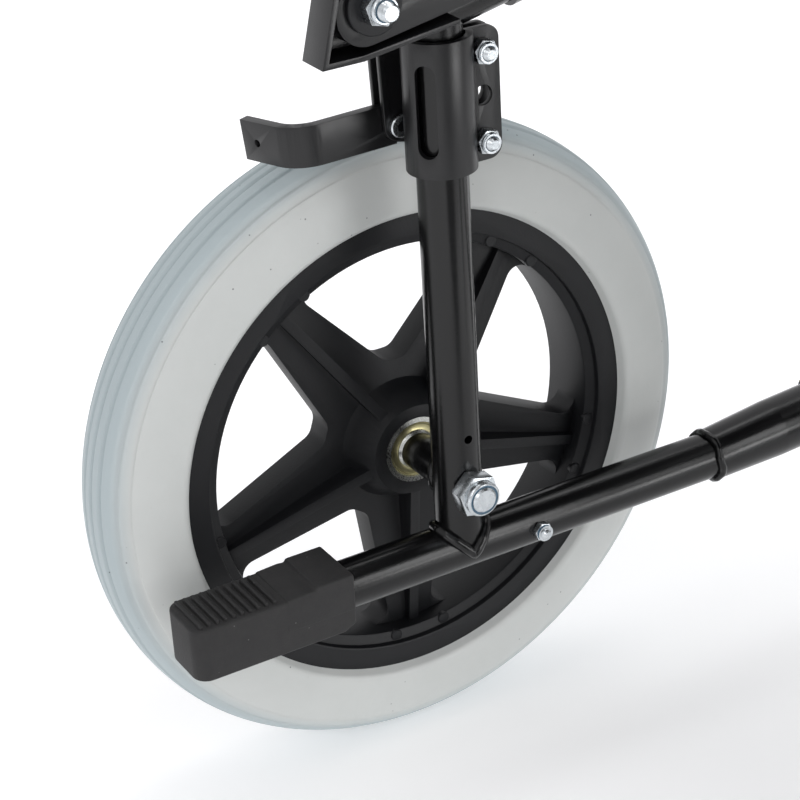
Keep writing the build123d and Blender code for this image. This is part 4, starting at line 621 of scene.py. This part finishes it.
# ---- rubber cap of the tipping lever ----------------------------------------------------------
# Moulded black rubber pushed on the end of the tipping tube, with a foot pad of thin ribs on top.
# It is matte and greyer than the frame, with specks of dust on it.
rubber, tree = new_material("moulded black rubber")
place = add(tree, "TexCoord")
dust = add(tree, "TexNoise", [("Scale", per_mm(6)), ("Detail", 6.0), ("Roughness", 0.7)],
           [("Vector", place.outputs["Object"])])
tint = add(tree, "Mix", [("data_type", "RGBA"), (6, linear("222223")), (7, linear("323131"))],
           [(0, dust.outputs["Fac"])])
nibs = add(tree, "TexVoronoi", [("Scale", per_mm(6))], [("Vector", place.outputs["Object"])])
speck = add(tree, "MapRange", [("From Min", 0.02), ("From Max", 0.06), ("To Min", 0.5), ("To Max", 0.0)],
            [("Value", nibs.outputs["Distance"])])
dusty = add(tree, "Mix", [("data_type", "RGBA"), (7, linear("8A8A88"))],
            [(0, speck.outputs["Result"]), (6, tint.outputs[2])])
fine = add(tree, "TexNoise", [("Scale", per_mm(0.8)), ("Detail", 4.0)], [("Vector", place.outputs["Object"])])
skin = bump(tree, fine.outputs["Fac"], 0.1)
finish(tree, add(tree, "BsdfPrincipled", [("Roughness", 0.66), ("IOR", 1.5), ("Specular IOR Level", 0.35)],
                 [("Base Color", dusty.outputs[2]), ("Normal", skin.outputs["Normal"])]))


def extrude_outline(outline, half):
    """A prism from a side outline of (Y, Z), centred on X = 0, in millimetres."""
    bm = bmesh.new()
    face = bm.faces.new([bm.verts.new((-half, y, z)) for y, z in outline])
    side_wall = bmesh.ops.extrude_face_region(bm, geom=[face])
    moved = [v for v in side_wall["geom"] if isinstance(v, bmesh.types.BMVert)]
    bmesh.ops.translate(bm, vec=(2 * half, 0, 0), verts=moved)
    bmesh.ops.recalc_face_normals(bm, faces=bm.faces)
    return bm


CAP_FRONT = 63.0
CAP_END = 140.0
CAP_HALF = 15.0
CAP_TOP = 13.8
CAP_LOW = -13.8
CAP_FLOOR = max(CAP_TOP - 3.2, TUBE_R / MM + 0.5)
CAP_BASE = [(CAP_FRONT + 1, CAP_FLOOR), (CAP_END, CAP_FLOOR), (CAP_END, CAP_LOW), (CAP_FRONT + 6, CAP_LOW),
            (CAP_FRONT, CAP_LOW + 3), (CAP_FRONT, CAP_FLOOR - 2)]
CAP_BLOCK = [(CAP_FRONT, -4.0), (CAP_FRONT, CAP_TOP), (CAP_FRONT + 18, CAP_TOP),
             (CAP_FRONT + 19, CAP_TOP - 1.6), (CAP_FRONT + 22, CAP_TOP - 1.2),
             (CAP_FRONT + 33, CAP_FLOOR + 0.4), (CAP_FRONT + 34, -4.0)]
CAP_RIBS = 10
CAP_RIB = (25.0, 1.7, 3.2)
CAP_PITCH = 3.9
for side in ("left_", "right_"):
    bm = bmesh.new()
    for outline, half, ease in ((CAP_BASE, CAP_HALF, 1.4), (CAP_BLOCK, CAP_HALF + 0.1, 1.0)):
        lump = extrude_outline(outline, half)
        rear = [e for e in lump.edges if all(v.co.y > CAP_END - 1 for v in e.verts)
                and abs(e.verts[0].co.z - e.verts[1].co.z) > 5]
        if rear:
            bmesh.ops.bevel(lump, geom=rear, offset=7.0, segments=8, affect="EDGES", profile=0.5, material=-1)
        hard = [e for e in lump.edges if e.is_manifold and e.calc_face_angle(0) > radians(25)]
        bmesh.ops.bevel(lump, geom=hard, offset=ease, segments=3, affect="EDGES", profile=0.5, material=-1,
                        clamp_overlap=True)
        merge(bm, lump)
    for index in range(CAP_RIBS):
        rib = bmesh.new()
        bmesh.ops.create_cube(rib, size=1.0)
        bmesh.ops.scale(rib, vec=CAP_RIB, verts=rib.verts)
        bmesh.ops.bevel(rib, geom=rib.edges[:], offset=0.5, segments=2, affect="EDGES", profile=0.5,
                        material=-1)
        bmesh.ops.translate(rib, vec=(0, CAP_END - 4.5 - index * CAP_PITCH, CAP_FLOOR), verts=rib.verts)
        merge(bm, rib)
    settle(bm, (post_x, hub.y, rail_z), side)
    piece = place_piece(bm, side + "cap_rubber", rubber, side + "frame", 30)
    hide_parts(side + "tip_cap")


# ---- plain mouldings -------------------------------------------------------------------------
# Black skirt guards and footplates in polypropylene, with a fine leather grain pressed into their
# skin, bolted to their tubes, and castor wheels in the rims' nylon.
grained, tree = new_material("grained black polypropylene")
place = add(tree, "TexCoord")
cells = add(tree, "TexVoronoi", [("Scale", per_mm(1.4))], [("Vector", place.outputs["Object"])])
cloud = add(tree, "TexNoise", [("Scale", per_mm(30)), ("Detail", 3.0)], [("Vector", place.outputs["Object"])])
tint = add(tree, "Mix", [("data_type", "RGBA"), (6, linear("101012")), (7, linear("181819"))],
           [(0, cloud.outputs["Fac"])])
skin = bump(tree, cells.outputs["Distance"], 0.12)
finish(tree, add(tree, "BsdfPrincipled", [("Roughness", 0.5), ("IOR", 1.49)],
                 [("Base Color", tint.outputs[2]), ("Normal", skin.outputs["Normal"])]))
for side in ("left_", "right_"):
    softened(side + "skirt_guard", side + "guard_panel", grained, 0.8)
    softened(side + "footplate", side + "foot_board", grained, 1.2, 3)
    softened(side + "castor_wheel", side + "castor_hub", nylon, 0.8)


# ---- castor tyres ----------------------------------------------------------------------------
# The same grey polyurethane as the rear tyres, moulded on the castor wheels with a flat tread.
CASTOR_R = 75.0
CASTOR_RIM = 56.0
CASTOR_HALF = 15.0
castor_profile = []
for index in range(33):
    turn = pi * index / 32
    share = abs(cos(turn))
    height = (CASTOR_R - CASTOR_RIM - 3) * (1 - share ** 3.0) ** (1 / 3.0) if share < 1 else 0.0
    castor_profile.append((CASTOR_HALF * cos(turn) * MM, (CASTOR_RIM + 3 + height) * MM))
castor_profile += [(-12.0 * MM, (CASTOR_RIM + 0.1) * MM), (12.0 * MM, (CASTOR_RIM + 0.1) * MM)]
for side in ("left_", "right_"):
    bm = ring_of(castor_profile, middle("left_castor_tyre"), 120)
    flip_side(bm, side)
    piece = place_piece(bm, side + "castor_tyre_skin", tyre_skin, side + "castor_wheel", 50)
    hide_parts(side + "castor_tyre")


# ---- push grips ------------------------------------------------------------------------------
# Black rubber sleeves pulled over the handle tubes, with moulded rings for the fingers.
grip_profile = []
GRIP_LENGTH = 105.0
for index in range(106):
    along = index * GRIP_LENGTH / 105
    swell = 14.2 + 0.9 * sin(along * 2 * pi / 8.0) if 12 < along < 92 else 15.4
    grip_profile.append((along, swell))
grip_profile[0] = (0.0, 14.4)
grip_profile += [(GRIP_LENGTH, 13.0), (GRIP_LENGTH, 0.02), (GRIP_LENGTH - 3, 0.02), (GRIP_LENGTH - 3, 11.2),
                 (0.0, 11.2)]
low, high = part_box("left_handle_grip")
for side in ("left_", "right_"):
    bm = ring_of(grip_profile, (0, 0, 0), 48)
    bmesh.ops.rotate(bm, cent=(0, 0, 0), matrix=Matrix.Rotation(pi / 2, 3, "Z"), verts=bm.verts)
    settle(bm, ((low.x + high.x) / 2, low.y, (low.z + high.z) / 2), side)
    piece = place_piece(bm, side + "grip_rubber", rubber, side + "frame", 50)
    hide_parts(side + "handle_grip")


# ---- seat and back cloth ---------------------------------------------------------------------
# Plain woven black nylon, coarse enough for the weave to show. The seat is one cloth wrapped round
# both seat rails, and the back is one cloth between two sleeves pulled over the rear posts.
THREAD = 1.5
cloth, tree = new_material("woven black nylon cloth")
threads = add(tree, "UVMap")
warp, weft = [add(tree, "TexWave", [("bands_direction", run), ("Scale", per_mm(THREAD) / 6.2832)],
                  [("Vector", threads.outputs["UV"])]) for run in ("X", "Y")]
crossing = add(tree, "Math", [("operation", "MULTIPLY")],
               [(0, warp.outputs["Fac"]), (1, weft.outputs["Fac"])])
cloud = add(tree, "TexNoise", [("Scale", per_mm(50)), ("Detail", 4.0)], [("Vector", threads.outputs["UV"])])
tint = add(tree, "Mix", [("data_type", "RGBA"), (6, linear("151517")), (7, linear("232327"))],
           [(0, cloud.outputs["Fac"])])
skin = bump(tree, crossing.outputs["Value"], 0.25)
finish(tree, add(tree, "BsdfPrincipled",
                 [("Roughness", 0.8), ("Sheen Weight", 0.25), ("Sheen Roughness", 0.4)],
                 [("Base Color", tint.outputs[2]), ("Normal", skin.outputs["Normal"])]))


def cloth_strip(section, run_vector, steps):
    """A sheet from a cross section of points, drawn out along a vector, with UVs in metres."""
    bm = bmesh.new()
    layer = bm.loops.layers.uv.new("cloth")
    verts = [bm.verts.new(point) for point in section]
    for pair in zip(verts, verts[1:]):
        bm.edges.new(pair)
    edges = bm.edges[:]
    step = Vector(run_vector) / steps
    lengths = [0.0]
    for a, b in zip(section, section[1:]):
        lengths.append(lengths[-1] + (Vector(b) - Vector(a)).length)
    for index in range(steps):
        drawn = bmesh.ops.extrude_edge_only(bm, edges=edges)
        moved = [v for v in drawn["geom"] if isinstance(v, bmesh.types.BMVert)]
        edges = [e for e in drawn["geom"] if isinstance(e, bmesh.types.BMEdge)
                 and all(v in moved for v in e.verts)]
        bmesh.ops.translate(bm, vec=step, verts=moved)
    bm.verts.ensure_lookup_table()
    count = len(section)
    direction = Vector(run_vector).normalized()
    origin = Vector(section[0])
    along = {}
    feet = [Vector(p) - direction * (Vector(p) - origin).dot(direction) for p in section]
    for vert in bm.verts:
        drawn_out = (vert.co - origin).dot(direction)
        foot = vert.co - direction * drawn_out
        nearest = min(range(count), key=lambda i: (feet[i] - foot).length)
        along[vert] = (lengths[nearest], drawn_out)
    for face in bm.faces:
        for loop in face.loops:
            loop[layer].uv = along[loop.vert]
    bmesh.ops.recalc_face_normals(bm, faces=bm.faces)
    return bm, lengths[-1]


def thicken(piece, thickness):
    """Cloth thickness, kept as a modifier."""
    solid = piece.modifiers.new("thickness", "SOLIDIFY")
    solid.thickness = thickness * MM
    solid.offset = 0.0
    smooth = piece.modifiers.new("smooth", "SUBSURF")
    smooth.levels = smooth.render_levels = 1


seat_low, seat_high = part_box("seat_sling_left")
rail_x = 176.0 * MM
SLEEVE_R = 12.6
raked_along = Vector((0, -cos(rake), sin(rake)))
rear_rail_z = seat_low.z - 0.3 * MM - 11.1 * MM / cos(rake)
sleeve_points = []
for index in range(13):
    turn = radians(-150 + index * 20)
    sleeve_points.append((rail_x + SLEEVE_R * MM * cos(turn), SLEEVE_R * MM * sin(turn)))
span = []
SAG = 14.0 * MM
for index in range(1, 24):
    x = rail_x - 0.006 - index * (rail_x - 0.006) / 24
    share = 1 - (x / rail_x) ** 2
    span.append((x, SLEEVE_R * MM - SAG * share))
seat_curve = sleeve_points + span
mirrored = [(-x, z) for x, z in reversed(seat_curve)]
seat_section = seat_curve + [(0.0, SLEEVE_R * MM - SAG)] + mirrored
seat_rear = seat_high.y
section = [(x, seat_rear, rear_rail_z + z) for x, z in seat_section]
seat_length = (seat_high.y - seat_low.y) / cos(rake)
bm, seat_width = cloth_strip(section, raked_along * seat_length, 24)
seat_cloth = place_piece(bm, "seat_cloth", cloth, None, 60)
thicken(seat_cloth, 2.2)
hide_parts("seat_sling_left", "seat_sling_right")
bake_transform(seat_cloth)

back_low, back_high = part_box("back_sling")
back_height = back_high.z - back_low.z
BACK_SAG = 22.0 * MM
edge_x = post_x - TUBE_R - 1.2 * MM
back_section = []
for index in range(41):
    x = edge_x - index * 2 * edge_x / 40
    share = 1 - (x / edge_x) ** 2
    back_section.append((x, hub.y + 6 * MM + BACK_SAG * share, back_low.z))
bm, back_width = cloth_strip(back_section, (0, 0, back_height), 24)
back_cloth = place_piece(bm, "back_cloth", cloth, "left_frame", 60)
thicken(back_cloth, 2.4)
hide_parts("back_sling")
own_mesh(back_cloth)
for side in ("left_", "right_"):
    loop = []
    for index in range(37):
        turn = radians(150 + index * 8.6)
        loop.append((post_x + SLEEVE_R * MM * cos(turn), hub.y + SLEEVE_R * MM * sin(turn), back_low.z))
    bm, wrap = cloth_strip(loop, (0, 0, back_height), 24)
    flip_side(bm, side)
    sleeve = place_piece(bm, side + "back_sleeve", cloth, side + "frame", 60)
    thicken(sleeve, 1.8)


# ---- armrest pads ----------------------------------------------------------------------------
# Foam under grained black vinyl, moulded and screwed to the armrest tube from below. The crown
# is blown up a little by the foam, and its sides pull in to the base.
vinyl, tree = new_material("grained black vinyl")
place = add(tree, "TexCoord")
cells = add(tree, "TexVoronoi", [("Scale", per_mm(2.0))], [("Vector", place.outputs["Object"])])
creases = add(tree, "TexNoise", [("Scale", per_mm(12)), ("Detail", 5.0)],
              [("Vector", place.outputs["Object"])])
tint = add(tree, "Mix", [("data_type", "RGBA"), (6, linear("1A1A1C")), (7, linear("252528"))],
           [(0, creases.outputs["Fac"])])
soft = bump(tree, creases.outputs["Fac"], 0.3)
skin = bump(tree, cells.outputs["Distance"], 0.18, normal=soft.outputs["Normal"])
finish(tree, add(tree, "BsdfPrincipled", [("Roughness", 0.48), ("IOR", 1.5)],
                 [("Base Color", tint.outputs[2]), ("Normal", skin.outputs["Normal"])]))
pad_low, pad_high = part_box("left_armrest_pad")
for side in ("left_", "right_"):
    bm = bmesh.new()
    bmesh.ops.create_cube(bm, size=1.0)
    size = pad_high - pad_low - Vector((5, 6, 4)) * MM
    bmesh.ops.scale(bm, vec=size, verts=bm.verts)
    upright = [e for e in bm.edges if abs(e.verts[0].co.z - e.verts[1].co.z) > 0.01]
    bmesh.ops.bevel(bm, geom=upright, offset=14 * MM, segments=6, affect="EDGES", profile=0.5, material=-1)
    top = [e for e in bm.edges if all(v.co.z > 0 for v in e.verts) and e.calc_face_angle(0) > radians(40)]
    bmesh.ops.bevel(bm, geom=top, offset=6 * MM, segments=4, affect="EDGES", profile=0.5, material=-1)
    bmesh.ops.translate(bm, vec=(pad_low + pad_high) / 2 - Vector((0, 0, 1.6 * MM)), verts=bm.verts)
    flip_side(bm, side)
    pad = place_piece(bm, side + "pad_vinyl", vinyl, side + "armrest", 60)
    remesh = pad.modifiers.new("remesh", "REMESH")
    remesh.mode = "VOXEL"
    remesh.voxel_size = 5 * MM
    steps = bpy.context.evaluated_depsgraph_get()
    pad.data = bpy.data.meshes.new_from_object(pad.evaluated_get(steps))
    pad.modifiers.clear()
    start = [v.co.copy() for v in pad.data.vertices]
    blown = pad.modifiers.new("blow", "CLOTH")
    blown.settings.use_pressure = True
    blown.settings.uniform_pressure_force = 4.0
    blown.settings.effector_weights.gravity = 0.0
    blown.settings.quality = 5
    for number in range(1, 21):
        bpy.context.scene.frame_set(number)
    steps = bpy.context.evaluated_depsgraph_get()
    swollen = bpy.data.meshes.new_from_object(pad.evaluated_get(steps))
    bpy.context.scene.frame_set(1)
    pad.modifiers.clear()
    limit = 4 * MM
    base = pad_low.z + 1.0 * MM
    for vert, rest, shape in zip(pad.data.vertices, start, swollen.vertices):
        move = shape.co - rest
        if move.length > limit:
            move = move.normalized() * limit
        vert.co = rest + move
        vert.co.z = max(vert.co.z, base)
    finer = pad.modifiers.new("finer", "SUBSURF")
    finer.levels = finer.render_levels = 1
    pad.data.shade_smooth()
    pad.data.materials.clear()
    pad.data.materials.append(vinyl)
    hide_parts(side + "armrest_pad")
